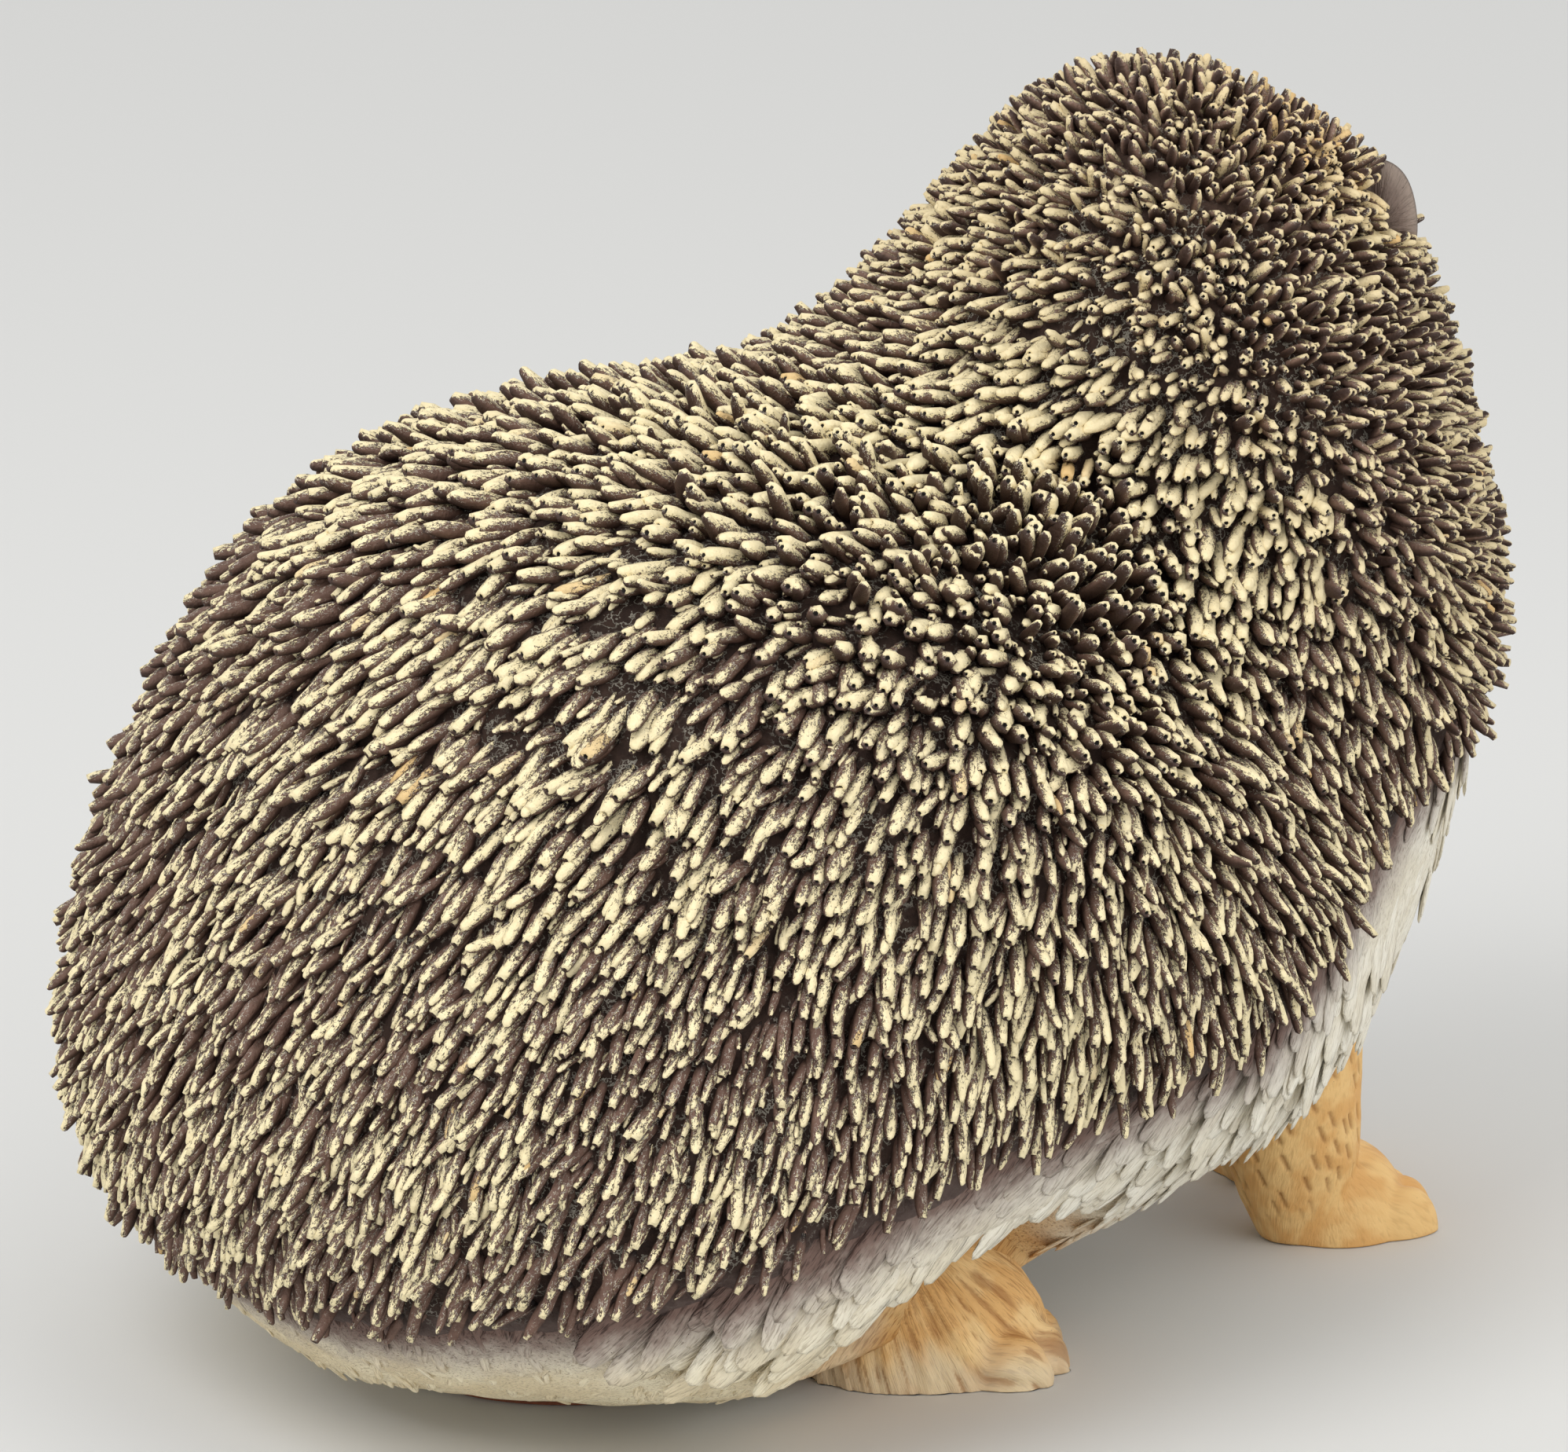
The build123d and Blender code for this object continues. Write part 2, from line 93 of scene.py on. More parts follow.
def skin(a, turn):
    """Point of the skin: the spine's centre plus the half width times the cosine of the turn sideways
    and the half depth times its sine across, both closed at the ends by a power of the sine of a."""
    dome = np.sin(np.pi * a) ** DOME_POWER
    return moved(spine(a), (BODY_HALF_WIDTH * carried(WIDTHS, a) * dome * np.cos(turn), SIDE),
                 (BODY_HALF_DEPTH * carried(DEPTHS, a) * dome * np.sin(turn), ACROSS))


def unit(v):
    """The same directions with length 1."""
    return v / np.maximum(np.linalg.norm(v, axis=-1, keepdims=True), 1e-9)


def skin_normal(a, turn):
    """Outward normal of the skin: a small step round it crossed with a small step along it."""
    a, step = np.clip(a, *NEAR_ENDS), 0.002
    round_it = skin(a, turn + step) - skin(a, turn - step)
    along_it = skin(a + step, turn) - skin(a - step, turn)
    return unit(np.cross(round_it, along_it))


def heading(degrees):
    """Level direction, turned from straight ahead (-Y) to the hedgehog's left."""
    turn = np.radians(degrees)
    return np.array([np.sin(turn), -np.cos(turn), 0])


face_way = heading(HEAD_TURN)
face_side = np.cross(UP, face_way)
head = spine(np.array(HEAD_STATION)) + 8 * face_side - 5 * UP


def in_coat(p):
    """How far inside the coat a point lies, in mm: the least of its height over the coat's lower edge, its
    distance behind the chest's front and its distance out of the window that is left for the face."""
    over = p[..., 2] - np.interp(p[..., 1], *zip(*COAT_EDGE))
    behind_chest = CHEST_REACH - p @ heading(CHEST_TURN)
    d = p - head
    beside_or_below = np.maximum(abs(d @ face_side) - FACE_WINDOW, -FACE_DROP - d[..., 2])
    outside = np.maximum(FACE_SETBACK - d @ face_way, beside_or_below)
    return np.minimum(np.minimum(over, behind_chest), outside)


def rough(p, size):
    """Smooth noise from 0 to 1: random numbers on a cubic lattice of that size, blended from the eight
    nearest by the smoothed shares of the way between them."""
    q = np.asarray(p) / size
    cell = np.floor(q).astype(int)
    share = q - cell
    share = share * share * (3 - 2 * share)
    total = 0
    for corner in np.ndindex(2, 2, 2):
        i = (cell + corner) % len(LATTICE)
        weight = np.prod(np.where(corner, share, 1 - share), axis=-1)
        total = total + weight * LATTICE[i[..., 0], i[..., 1], i[..., 2]]
    return total


def ramp(x, low, high):
    """0 below low and 1 above high, with a smooth step between."""
    t = np.clip((x - low) / (high - low), 0, 1)
    return t * t * (3 - 2 * t)


def even_turns(count):
    """That many even turns about a full round, from 0."""
    return np.linspace(0, 2 * np.pi, count, endpoint=False)


def grid(first, last, rows, columns):
    """Two grids: even values from first to last down the rows, and even turns along the columns."""
    return np.meshgrid(np.linspace(first, last, rows), even_turns(columns), indexing="ij")


def bands(rows, columns, closed=False):
    """Faces of rings that are joined all round and each to the next, and the last to the first if closed."""
    i, j = np.meshgrid(np.arange(rows if closed else rows - 1), np.arange(columns), indexing="ij")
    k, m = (j + 1) % columns, (i + 1) % rows
    return np.stack([i * columns + j, i * columns + k, m * columns + k, m * columns + j], -1).reshape(-1, 4)


def tube(rings):
    """Points and faces of a closed tube: a grid of rings, joined all round, with each end drawn to the
    middle of its last ring. Faces point out where the rings turn right-handed about their own run."""
    rows, columns = rings.shape[:2]
    points = np.concatenate([rings.reshape(-1, 3), rings[[0, -1]].mean(1)])
    j, k = np.arange(columns), (np.arange(columns) + 1) % columns
    last = (rows - 1) * columns
    start = np.stack([np.full(columns, rows * columns), k, j], -1)
    end = np.stack([np.full(columns, rows * columns + 1), last + j, last + k], -1)
    return points, [bands(rows, columns), start, end]


def together(shells):
    """Several shells as one: the points in a row, and each shell's faces moved on by the points before."""
    points, faces, count = [], [], 0
    for p, f in shells:
        points.append(p)
        faces += [g + count for g in f]
        count += len(p)
    return np.concatenate(points), faces


def piece(name, points, faces, **marks):
    """Mesh object at the origin, from points in mm and arrays of faces. Each mark is a number or a
    direction kept at every point, for the materials to read."""
    mesh = bpy.data.meshes.new(name)
    corners = np.concatenate([f.ravel() for f in faces])
    sizes = np.concatenate([np.full(len(f), f.shape[1]) for f in faces])
    mesh.vertices.add(len(points))
    mesh.vertices.foreach_set("co", (points * MM).astype(np.float32).ravel())
    mesh.loops.add(len(corners))
    mesh.loops.foreach_set("vertex_index", corners.astype(np.int32))
    mesh.polygons.add(len(sizes))
    mesh.polygons.foreach_set("loop_start", np.r_[0, np.cumsum(sizes)[:-1]].astype(np.int32))
    mesh.update(calc_edges=True)
    mesh.shade_smooth()
    mark_points(mesh, **marks)
    obj = bpy.data.objects.new(name, mesh)
    bpy.context.scene.collection.objects.link(obj)
    return obj


def mark_points(mesh, **marks):
    """Keeps each mark at the mesh's points, as numbers or as directions."""
    for mark, values in marks.items():
        kind, field = ("FLOAT_VECTOR", "vector") if np.ndim(values) == 2 else ("FLOAT", "value")
        kept = mesh.attributes.new(mark, kind, "POINT")
        kept.data.foreach_set(field, np.asarray(values, np.float32).ravel())


def ride(obj, slot, material, *nodes):
    """The piece rides on the casting, takes the given finish and stands for CAD nodes; its slot is not used.
    """
    obj.data.materials.clear()
    obj.data.materials.append(material)
    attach(obj, "root")
    if nodes:
        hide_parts(*nodes)


def colour(red, green, blue):
    """Linear colour of a paint given as it looks, from 0 to 255."""
    c = np.array([red, green, blue]) / 255
    return (*np.where(c <= 0.04045, c / 12.92, ((c + 0.055) / 1.055) ** 2.4), 1)


def add(tree, kind, options=None, inputs=None):
    """One node of a tree with its options set and its inputs given as values or other nodes' sockets."""
    node = tree.nodes.new("ShaderNode" + kind)
    for key, value in (options or {}).items():
        setattr(node, key, value)
    for key, value in (inputs or {}).items():
        if isinstance(value, bpy.types.NodeSocket):
            tree.links.new(value, node.inputs[key])
        else:
            node.inputs[key].default_value = value
    return node


def maths(tree, operation, a, b=0.0, c=0.0):
    """Output of one sum, product or other operation on numbers or sockets."""
    return add(tree, "Math", {"operation": operation}, {0: a, 1: b, 2: c}).outputs[0]


def step_up(tree, value, low, high):
    """Output of a smooth step from 0 at low to 1 at high."""
    return add(tree, "MapRange", {"interpolation_type": "SMOOTHSTEP"},
               {"Value": value, "From Min": low, "From Max": high}).outputs["Result"]


def blend(tree, share, *paints):
    """Colour between two by a share, each another node's output or a paint as it looks, from 0 to 255."""
    first, second = (colour(*paint) if isinstance(paint, tuple) else paint for paint in paints)
    return add(tree, "Mix", {"data_type": "RGBA"}, {0: share, 6: first, 7: second}).outputs[2]


def coated(tree, paint, *coats):
    """Paint under coats of others, each given as its share of cover and its paint, with a number or an
    output between them if the share is to be multiplied by it."""
    for *share, over in coats:
        covered = maths(tree, "MULTIPLY", *share) if len(share) == 2 else share[0]
        paint = blend(tree, covered, paint, over)
    return paint


def mark(tree, name, output="Fac"):
    """Output of a mark kept at the piece's points."""
    return add(tree, "Attribute", {"attribute_name": name}).outputs[output]


def wavering(tree, name, place, scale, sway):
    """Output of a mark that wavers by up to half the sway either way, with a smooth noise."""
    drift = maths(tree, "MULTIPLY_ADD", noise(tree, place, scale), sway, -sway / 2)
    return maths(tree, "ADD", mark(tree, name), drift)


def noise(tree, place, scale, detail=3.0, coarseness=0.6):
    """Output of a smooth noise about 0.5."""
    return add(tree, "TexNoise", None, {"Vector": place, "Scale": scale, "Detail": detail,
                                        "Roughness": coarseness}).outputs["Fac"]


def stretched(tree, place, x, y, z):
    """Output of a place with its axes scaled."""
    return add(tree, "Mapping", None, {"Vector": place, "Scale": (x, y, z)}).outputs["Vector"]


def new_group(name, inputs, outputs):
    """Empty shader node group with named inputs and outputs, each given with its kind."""
    group = bpy.data.node_groups.new(name, "ShaderNodeTree")
    for way, sockets in (("INPUT", inputs), ("OUTPUT", outputs)):
        for socket, kind in sockets.items():
            group.interface.new_socket(socket, in_out=way, socket_type="NodeSocket" + kind)
    return group, group.nodes.new("NodeGroupInput").outputs, group.nodes.new("NodeGroupOutput").inputs


def placed(tree, group, **inputs):
    """Outputs of a group placed in a material with its own values."""
    return add(tree, "Group", {"node_tree": group}, inputs).outputs


def finish(name, roughness, specular=0.35):
    """Material with one Principled shader, and its tree."""
    material = bpy.data.materials.new(name)
    material.use_nodes = True
    shader = material.node_tree.nodes["Principled BSDF"]
    shader.inputs["Roughness"].default_value = roughness
    shader.inputs["Specular IOR Level"].default_value = specular
    return material, material.node_tree, shader


def painted(tree, shader, paint, height, depth):
    """Feeds a paint into the shader's colour, and a height into its normal as a bump of that depth in mm."""
    tree.links.new(paint, shader.inputs["Base Color"])
    if depth:
        bump = add(tree, "Bump", None, {"Height": height, "Distance": depth * MM, "Strength": 1.0})
        tree.links.new(bump.outputs["Normal"], shader.inputs["Normal"])


# Carved strands: a lie coordinate in mm, whose third axis runs with the hair, is drawn out into streaks.
strands, given, out = new_group("carved strands", {"Lie": "Vector", "Fineness": "Float"},
                                {"Height": "Float", "Groove": "Float"})
streak = noise(strands, stretched(strands, given["Lie"], 1, 1, 0.16), given["Fineness"], 2.5, 0.55)
wisp = noise(strands, stretched(strands, given["Lie"], 1.9, 1.9, 0.22), given["Fineness"], 1.0, 0.5)
height = maths(strands, "MULTIPLY_ADD", streak, 0.7, maths(strands, "MULTIPLY", wisp, 0.3))
strands.links.new(height, out["Height"])
strands.links.new(step_up(strands, height, 0.5, 0.36), out["Groove"])

# Specks: scattered small spots of another paint, where a fine noise passes its limit.
specks, given, out = new_group("specks", {"Place": "Vector", "Fineness": "Float", "Cover": "Float"},
                               {"Mask": "Float"})
spot = noise(specks, given["Place"], given["Fineness"], 2.0, 0.7)
limit = maths(specks, "SUBTRACT", 0.75, maths(specks, "MULTIPLY", given["Cover"], 0.3))
specks.links.new(step_up(specks, maths(specks, "SUBTRACT", spot, limit), 0.0, 0.03), out["Mask"])


def fur_finish(name, fineness):
    """Sprayed fur: ivory with a mushroom wash in the grooves, mauve-brown and then grey under the quills
    with dark specks of overspray, tan on the skirt behind, and orange where it meets a leg."""
    material, tree, shader = finish(name, 0.72, 0.25)
    lie = mark(tree, "lie", "Vector")
    hair = placed(tree, strands, Lie=lie, Fineness=fineness)
    cloud = step_up(tree, noise(tree, lie, 0.09, 2.0, 0.5), 0.35, 0.65)
    tan, warm = mark(tree, "tan"), mark(tree, "warm")
    sand = blend(tree, cloud, (236, 219, 182), (250, 238, 206))
    orange = blend(tree, cloud, (210, 160, 96), (228, 190, 132))
    light = coated(tree, (230, 222, 202), (cloud, (244, 239, 224)), (tan, sand), (warm, orange))
    deep = coated(tree, (192, 182, 162), (tan, (186, 168, 136)), (warm, (158, 106, 50)))
    edge = wavering(tree, "margin", lie, 0.3, 8.0)
    grey = blend(tree, hair["Groove"], (178, 166, 157), (134, 120, 112))
    mauve = blend(tree, hair["Groove"], (118, 95, 86), (74, 56, 50))
    spots = placed(tree, specks, Place=lie, Fineness=1.3, Cover=0.1)["Mask"]
    paint = coated(tree, light, (hair["Groove"], 0.7, deep), (step_up(tree, edge, -14.0, -3.0), 0.8, grey),
                   (step_up(tree, edge, -7.0, 1.0), mauve),
                   (spots, step_up(tree, edge, -16.0, -5.0), (70, 56, 52)))
    painted(tree, shader, paint, hair["Height"], 0.8)
    return material


ivory_fur = fur_finish("ivory_fur", 2.1)

# Where the fur turns orange: the forefeet, the hind feet and the thighs behind them, with a reach, in mm.
FEET = [(-21.5, -118, 14), (5, -134, 14), (38.5, -28, 19), (-38.5, -28, 19), (-62, -8, 15), (62, -8, 15)]


def warmth(p):
    """How orange the fur is, from 0 to 1: the level distance to the nearest foot as a share of its reach,
    plus the height over the foot as a share of 14 mm, roughened and stepped down from 0.7 to 1.8."""
    foot = np.full(p.shape[:-1], 1e3)
    for x, y, reach in FEET:
        away = np.hypot(p[..., 0] - x, p[..., 1] - y)
        low = 42 if y < -100 else 27
        foot = np.minimum(foot, away / reach + np.maximum(p[..., 2] - low, 0) / 14)
    return 1 - ramp(foot + 0.5 * (rough(p, 6) - 0.5), 0.7, 1.8)


def skirt_tan(p):
    """How tan the fur is, from 0 to 1: the skirt behind and beside the hind feet, more so low down."""
    return ramp(p[..., 1], -30, 30) * (1 - 0.6 * ramp(p[..., 2], 14, 34))


def fold(p):
    """How deep the thigh's fold over each hind foot is, from 0 to 1: full from 26 mm ahead of the middle to
    2 mm behind it and under 27 mm up, and gone 48 mm ahead, 18 mm behind and 42 mm up."""
    return ramp(p[..., 1], -48, -26) * (1 - ramp(p[..., 1], 2, 18)) * (1 - ramp(p[..., 2], 27, 42))


def tucked(p):
    """The same places with the belly drawn in towards the middle where the thigh folds."""
    drawn = np.sign(p[..., 0]) * np.maximum(abs(p[..., 0]) - 36 * fold(p), np.minimum(abs(p[..., 0]), 46))
    return np.stack([drawn, p[..., 1], p[..., 2]], -1)


def lie_of(p):
    """Coordinates in mm for the strands: across the body, out of it, and with the fall of the hair."""
    return np.stack([p[..., 0], p @ ACROSS, -(p @ ALONG)], -1)


def fur_marks(p):
    """What the fur's paint reads at each point: how far inside the coat it is, and how orange and tan."""
    return {"margin": in_coat(p), "warm": warmth(p), "tan": skirt_tan(p)}


a, turn = grid(*SKIN_ENDS, 190, 250)
rings = skin(a, turn)
inside = in_coat(rings)
ripple = FUR_RIPPLE * (rough(lie_of(rings) * [1, 1, 0.4], 4) - 0.6)
rings += (-COAT_RECESS * ramp(inside, -2, 4) + ripple)[..., None] * skin_normal(a, turn)
rings = tucked(rings)
over_plate = (rings[..., 0] / PLATE_HALF_WIDTH) ** 2 + (rings[..., 1] / PLATE_HALF_LENGTH) ** 2 < 1
rings[..., 2] = np.maximum(rings[..., 2], np.where(over_plate, PLATE_CLEARANCE, UNDERSIDE))
FOOT_PROFILE = [(24.2, 38.2, 1), (30, 44, 1), (33, 47, 3), (38, 52, 7), (43, 57, 11), (30, 44, 13),
                (24.2, 38.2, 7)]


def oval_path(profile, columns):
    """A profile of half widths, half lengths and heights carried round an oval path about the origin."""
    round_ = even_turns(columns)
    half_x, half_y, z = (np.array(v, float)[:, None] for v in zip(*profile))
    return np.stack([half_x * np.cos(round_), half_y * np.sin(round_), z + 0 * round_], -1)


def loop(rings):
    """Points and faces of a ring-shaped solid: its rings joined all round, and the last to the first."""
    return rings.reshape(-1, 3), [bands(*rings.shape[:2], closed=True)]


points, faces = together([tube(rings), loop(oval_path(FOOT_PROFILE, 160))])
ride(piece("casting", points, faces, lie=lie_of(points), **fur_marks(points)), "fur_resin", ivory_fur, "body")


# Fur locks: short overlapping tufts, carved in the master and cast with the body. They fall towards
# the tail and the ground, and end in a scalloped edge over the legs and along the belly.
LOCK_RINGS, LOCK_GIRTHS = [0, 0.3, 0.62, 0.86, 1.0], [0.58, 0.94, 1.0, 0.87, 0.56]


def grown(root, way, upper, length, girth, rings, girths, sides, flat=1.0, bend=0.0, lumps=0.08, seed=1):
    """Many tapered tubes: ring k of a tube is centred at its root plus its way times length times rings_k,
    lifted by bend times the square of rings_k; its radius is half the girth times girths_k, flattened
    on the upper side, with random lumps. The root end is one face and the tip is drawn to a point."""
    n, sides_at = len(root), (np.arange(sides) + 0.5) * 2 * np.pi / sides
    rng = np.random.default_rng(seed)
    t = np.broadcast_to(np.asarray(rings, float), (n, np.shape(rings)[-1]))
    r = np.broadcast_to(np.asarray(girths, float), t.shape) * girth[:, None] / 2
    across = unit(np.cross(upper, way))
    upper = np.cross(way, across)
    bend = np.broadcast_to(bend, n)
    centre = moved(root[:, None], (t * length[:, None], way[:, None]),
                   (bend[:, None] * t * t, upper[:, None]))
    r = r[..., None] * (1 + lumps * rng.uniform(-1, 1, (n, t.shape[1], sides)))
    x, y = r * np.cos(sides_at), r * np.sin(sides_at) * flat
    ring = moved(centre[:, :, None], (x, across[:, None, None]), (y, upper[:, None, None]))
    tip = 2 * centre[:, -1] - centre[:, -2]
    tip = centre[:, -1] + 0.35 * (tip - centre[:, -1])
    points = np.concatenate([ring.reshape(n, -1, 3), tip[:, None]], 1)
    last, j = (t.shape[1] - 1) * sides, np.arange(sides)
    fan = np.stack([np.full(sides, last + sides), last + j, last + (j + 1) % sides], -1)
    step = (np.arange(n) * points.shape[1])[:, None, None]
    faces = [(f + step).reshape(-1, f.shape[-1])
             for f in (bands(t.shape[1], sides), fan, np.arange(sides)[::-1][None])]
    full = lambda values: np.broadcast_to(values, (n, points.shape[1])).ravel()
    along = np.concatenate([np.repeat(t, sides, 1), np.full((n, 1), t[:, -1:].max())], 1)
    run = np.broadcast_to((t * length[:, None])[..., None], x.shape)
    local = np.concatenate([np.stack([x, y, run], -1).reshape(n, -1, 3), (length[:, None] * UP)[:, None]], 1)
    marks = {"along": along.ravel(), "outer": full(np.r_[np.tile(np.sin(sides_at), t.shape[1]), 0.5]),
             "chance": full(rng.random(n)[:, None]),
             "lie": (local + rng.uniform(0, 900, (n, 1, 3))).reshape(-1, 3)}
    return points.reshape(-1, 3), faces, marks


def spread(count, seed, jitter):
    """Even places over the whole skin, as shares a and turns: the stations are set so that equal numbers
    cover equal areas, and each turn goes on from the last by the golden share of a round, plus jitter."""
    rng = np.random.default_rng(seed)
    rows, (first, last) = 400, NEAR_ENDS
    a_grid, turns = np.linspace(first, last, rows), np.linspace(0, 2 * np.pi, 361)
    at = skin(a_grid[:, None], turns[None, :])
    run = np.linalg.norm(np.diff(at, axis=1), axis=-1)
    gap = np.linalg.norm(np.diff(at, axis=0), axis=-1).mean(1)
    area = np.r_[0, np.cumsum(gap * run.sum(1)[1:])]
    share = np.interp((np.arange(count) + 0.5) / count, area / area[-1], a_grid)
    lap = np.concatenate([np.zeros((len(at), 1)), np.cumsum(run, 1)], 1)
    golden = (np.arange(count) * (np.sqrt(5) - 1) / 2) % 1
    row = np.clip(np.round((share - first) / (last - first) * (rows - 1)).astype(int), 0, rows - 1)
    turn = np.array([np.interp(g * lap[i, -1], lap[i], turns) for g, i in zip(golden, row)])
    girth = np.maximum(lap[row, -1], 20)
    turn = turn + jitter * rng.uniform(-1, 1, count) * 2 * np.pi / girth
    share = np.clip(share + jitter * rng.uniform(-1, 1, count) / gap.mean() / rows, first, last)
    return share, turn


def laid(direction, normal):
    """The direction laid along the skin, and how much of it lies there."""
    flat = direction - np.sum(direction * normal, -1, keepdims=True) * normal
    return unit(flat), np.clip(np.linalg.norm(flat, axis=-1, keepdims=True), 0, 1)


def grow_locks(name, count, seed, lengths, girths, sides, flat, drop, chosen):
    """A piece of locks at even places outside the coat where the choice holds, clear of the face and of the
    thighs' folds, each falling the given way laid on the skin."""
    root, normal = (f(*spread(count, seed, 1.0)) for f in (skin, skin_normal))
    inside = in_coat(root) + 5 * (rough(root, 9) - 0.5)
    off_face = ((root - head) @ face_way < 30) | (root[:, 2] < 106)
    off_fold = fold(root + [0, 12, -9]) < 0.12
    keep = (inside < 7) & (root[:, 2] > 3.5) & off_face & off_fold & chosen(root, normal)
    root, normal = tucked(root[keep]), normal[keep]
    rng = np.random.default_rng(seed + 8)
    fall, _ = laid(np.array(drop) + rng.normal(0, 0.14, root.shape), normal)
    rise = np.radians(rng.uniform(0, 4, len(root)))[:, None]
    way = unit(np.cos(rise) * fall + np.sin(rise) * normal)
    length, girth = rng.uniform(*lengths, len(root)), rng.uniform(*girths, len(root))
    sunk = root - (0.5 + 0.6 * flat * girth)[:, None] * normal
    points, faces, marks = grown(sunk, way, normal, length, girth, LOCK_RINGS, LOCK_GIRTHS, sides, flat,
                                 rng.uniform(-0.8, 0.6, len(root)), 0.1, seed + 9)
    points[:, 2] = np.maximum(points[:, 2], UNDERSIDE)
    ride(piece(name, points, faces, **marks, **fur_marks(points)), "fur_resin", ivory_fur)


def on_skirt(root, normal):
    """Whether a root lies on the low skirt behind the hind feet."""
    return (root[:, 2] < 27 + 14 * ramp(root[:, 1], 20, 60)) & (root[:, 1] > -4)


def under_belly(root, normal):
    """Whether a root faces down, 10 mm or more ahead of the middle and clear of the ground."""
    return (normal[:, 2] < -0.3) & (root[:, 1] < -10) & (root[:, 2] > 20)


grow_locks("fur_locks", 8000, 3, (12, 20), (4.6, 8), 8, 0.15, (0, 0.75, -1),
           lambda root, normal: ~on_skirt(root, normal))
grow_locks("belly_locks", 2600, 4, (13, 18), (8, 11), 10, 0.14, (0, 0.6, -1), under_belly)
grow_locks("skirt_locks", 22000, 5, (4.5, 8), (1.3, 2.4), 6, 0.34, (0, 0.15, -1), on_skirt)


# Coat: six sections of backing skin, let into the casting, crowded with stout cast quills. They are
# painted dark brown, with painted shade in the depths and on the quills' under sides, and dry-brushed cream
# from the tips.
BODY_COUNT, CROWN_COUNT, STUB_COUNT = 15500, 24000, 9000
QUILL_LENGTHS, QUILL_WIDTHS, ROOT_DEPTH = (7.2, 10.0), (2.5, 3.5), 1.6
QUILL_RINGS, QUILL_GIRTHS = [0, 0.28, 0.55, 0.82, 1.0, 1.04], [0.74, 0.97, 1.0, 0.89, 0.6, 0.33]
QUILL_SIDES = 6
QUILL_POINTS = len(QUILL_RINGS) * QUILL_SIDES + 1
OPEN_SHARE, OPEN_RING, OPEN_DEPTH = 0.55, 0.99, 1.2

# Crackle: thin wandering lines, where a fine noise crosses its middle value.
crackle, given, out = new_group("crackle", {"Place": "Vector", "Fineness": "Float", "Width": "Float"},
                                {"Mask": "Float"})
wander = noise(crackle, given["Place"], given["Fineness"], 3.0, 0.6)
off_middle = maths(crackle, "ABSOLUTE", maths(crackle, "SUBTRACT", wander, 0.5))
from_line = maths(crackle, "SUBTRACT", off_middle, given["Width"])
crackle.links.new(step_up(crackle, from_line, 0.012, 0.0), out["Mask"])

# Dry brush: paint that catches where a dragged noise and the catch together pass the limit, and the
# fringe on both sides of its ragged edge.
catch, given, out = new_group("dry brush", {"Catch": "Float", "Lie": "Vector", "Limit": "Float"},
                              {"Mask": "Float", "Fringe": "Float"})
drag = noise(catch, stretched(catch, given["Lie"], 1, 1, 0.45), 2.3, 5.0, 0.75)
value = maths(catch, "MULTIPLY_ADD", maths(catch, "SUBTRACT", drag, 0.5), 2.3, given["Catch"])
over = maths(catch, "SUBTRACT", value, given["Limit"])
catch.links.new(step_up(catch, over, -0.03, 0.03), out["Mask"])
catch.links.new(step_up(catch, maths(catch, "ABSOLUTE", over), 0.5, 0.08), out["Fringe"])


def quill_finish(name):
    """Painted quills: mauve-brown, paler on the crown, with painted shade at the root and on the under side
    that faces the skin, cream dragged over the outer side and the tip, grey chips and dark cracks along its
    ragged edge, and painted shade in the hole of the open tips."""
    material, tree, shader = finish(name, 0.6, 0.3)
    lie, along, outer = mark(tree, "lie", "Vector"), mark(tree, "along"), mark(tree, "outer")
    crown = maths(tree, "MULTIPLY", mark(tree, "crown"), 0.5)
    reach = maths(tree, "MULTIPLY", mark(tree, "chance"), 0.4)
    for part, weight in ((along, 0.62), (outer, 0.9), (step_up(tree, along, 0.78, 0.98), 0.2)):
        reach = maths(tree, "MULTIPLY_ADD", part, weight, reach)
    reach = maths(tree, "ADD", reach, mark(tree, "brushed"))
    brushed = placed(tree, catch, Catch=reach, Lie=lie, Limit=1.36)
    chips = placed(tree, crackle, Place=stretched(tree, lie, 1, 1, 0.6), Fineness=1.4, Width=0.01)["Mask"]
    cracks = placed(tree, crackle, Place=stretched(tree, lie, 1, 1, 0.55), Fineness=1.1, Width=0.022)["Mask"]
    pale = coated(tree, (227, 210, 163), (noise(tree, lie, 0.8), (252, 239, 199)), (crown, (206, 184, 142)),
                  (mark(tree, "ochre"), (216, 172, 104)), (cracks, brushed["Fringe"], (62, 48, 42)))
    paint = coated(tree, (78, 56, 47), (noise(tree, lie, 0.55), (130, 101, 87)), (crown, (168, 138, 122)),
                   # painted shade on the under side of each quill, the side that faces the skin
                   (step_up(tree, outer, 0.3, -0.9), (60, 43, 37)),
                   # painted shade at the root, deep among the crowded quills
                   (step_up(tree, along, 0.32, 0.02), (36, 27, 25)),
                   (chips, brushed["Fringe"], (206, 201, 186)), (brushed["Mask"], pale),
                   # painted shade inside the hole of each open tip
                   (step_up(tree, mark(tree, "pit"), 0.32, 0.45), (30, 22, 19)))
    thickness = maths(tree, "MULTIPLY", brushed["Mask"], 0.7)
    painted(tree, shader, paint, maths(tree, "ADD", noise(tree, lie, 1.6), thickness), 0.3)
    return material


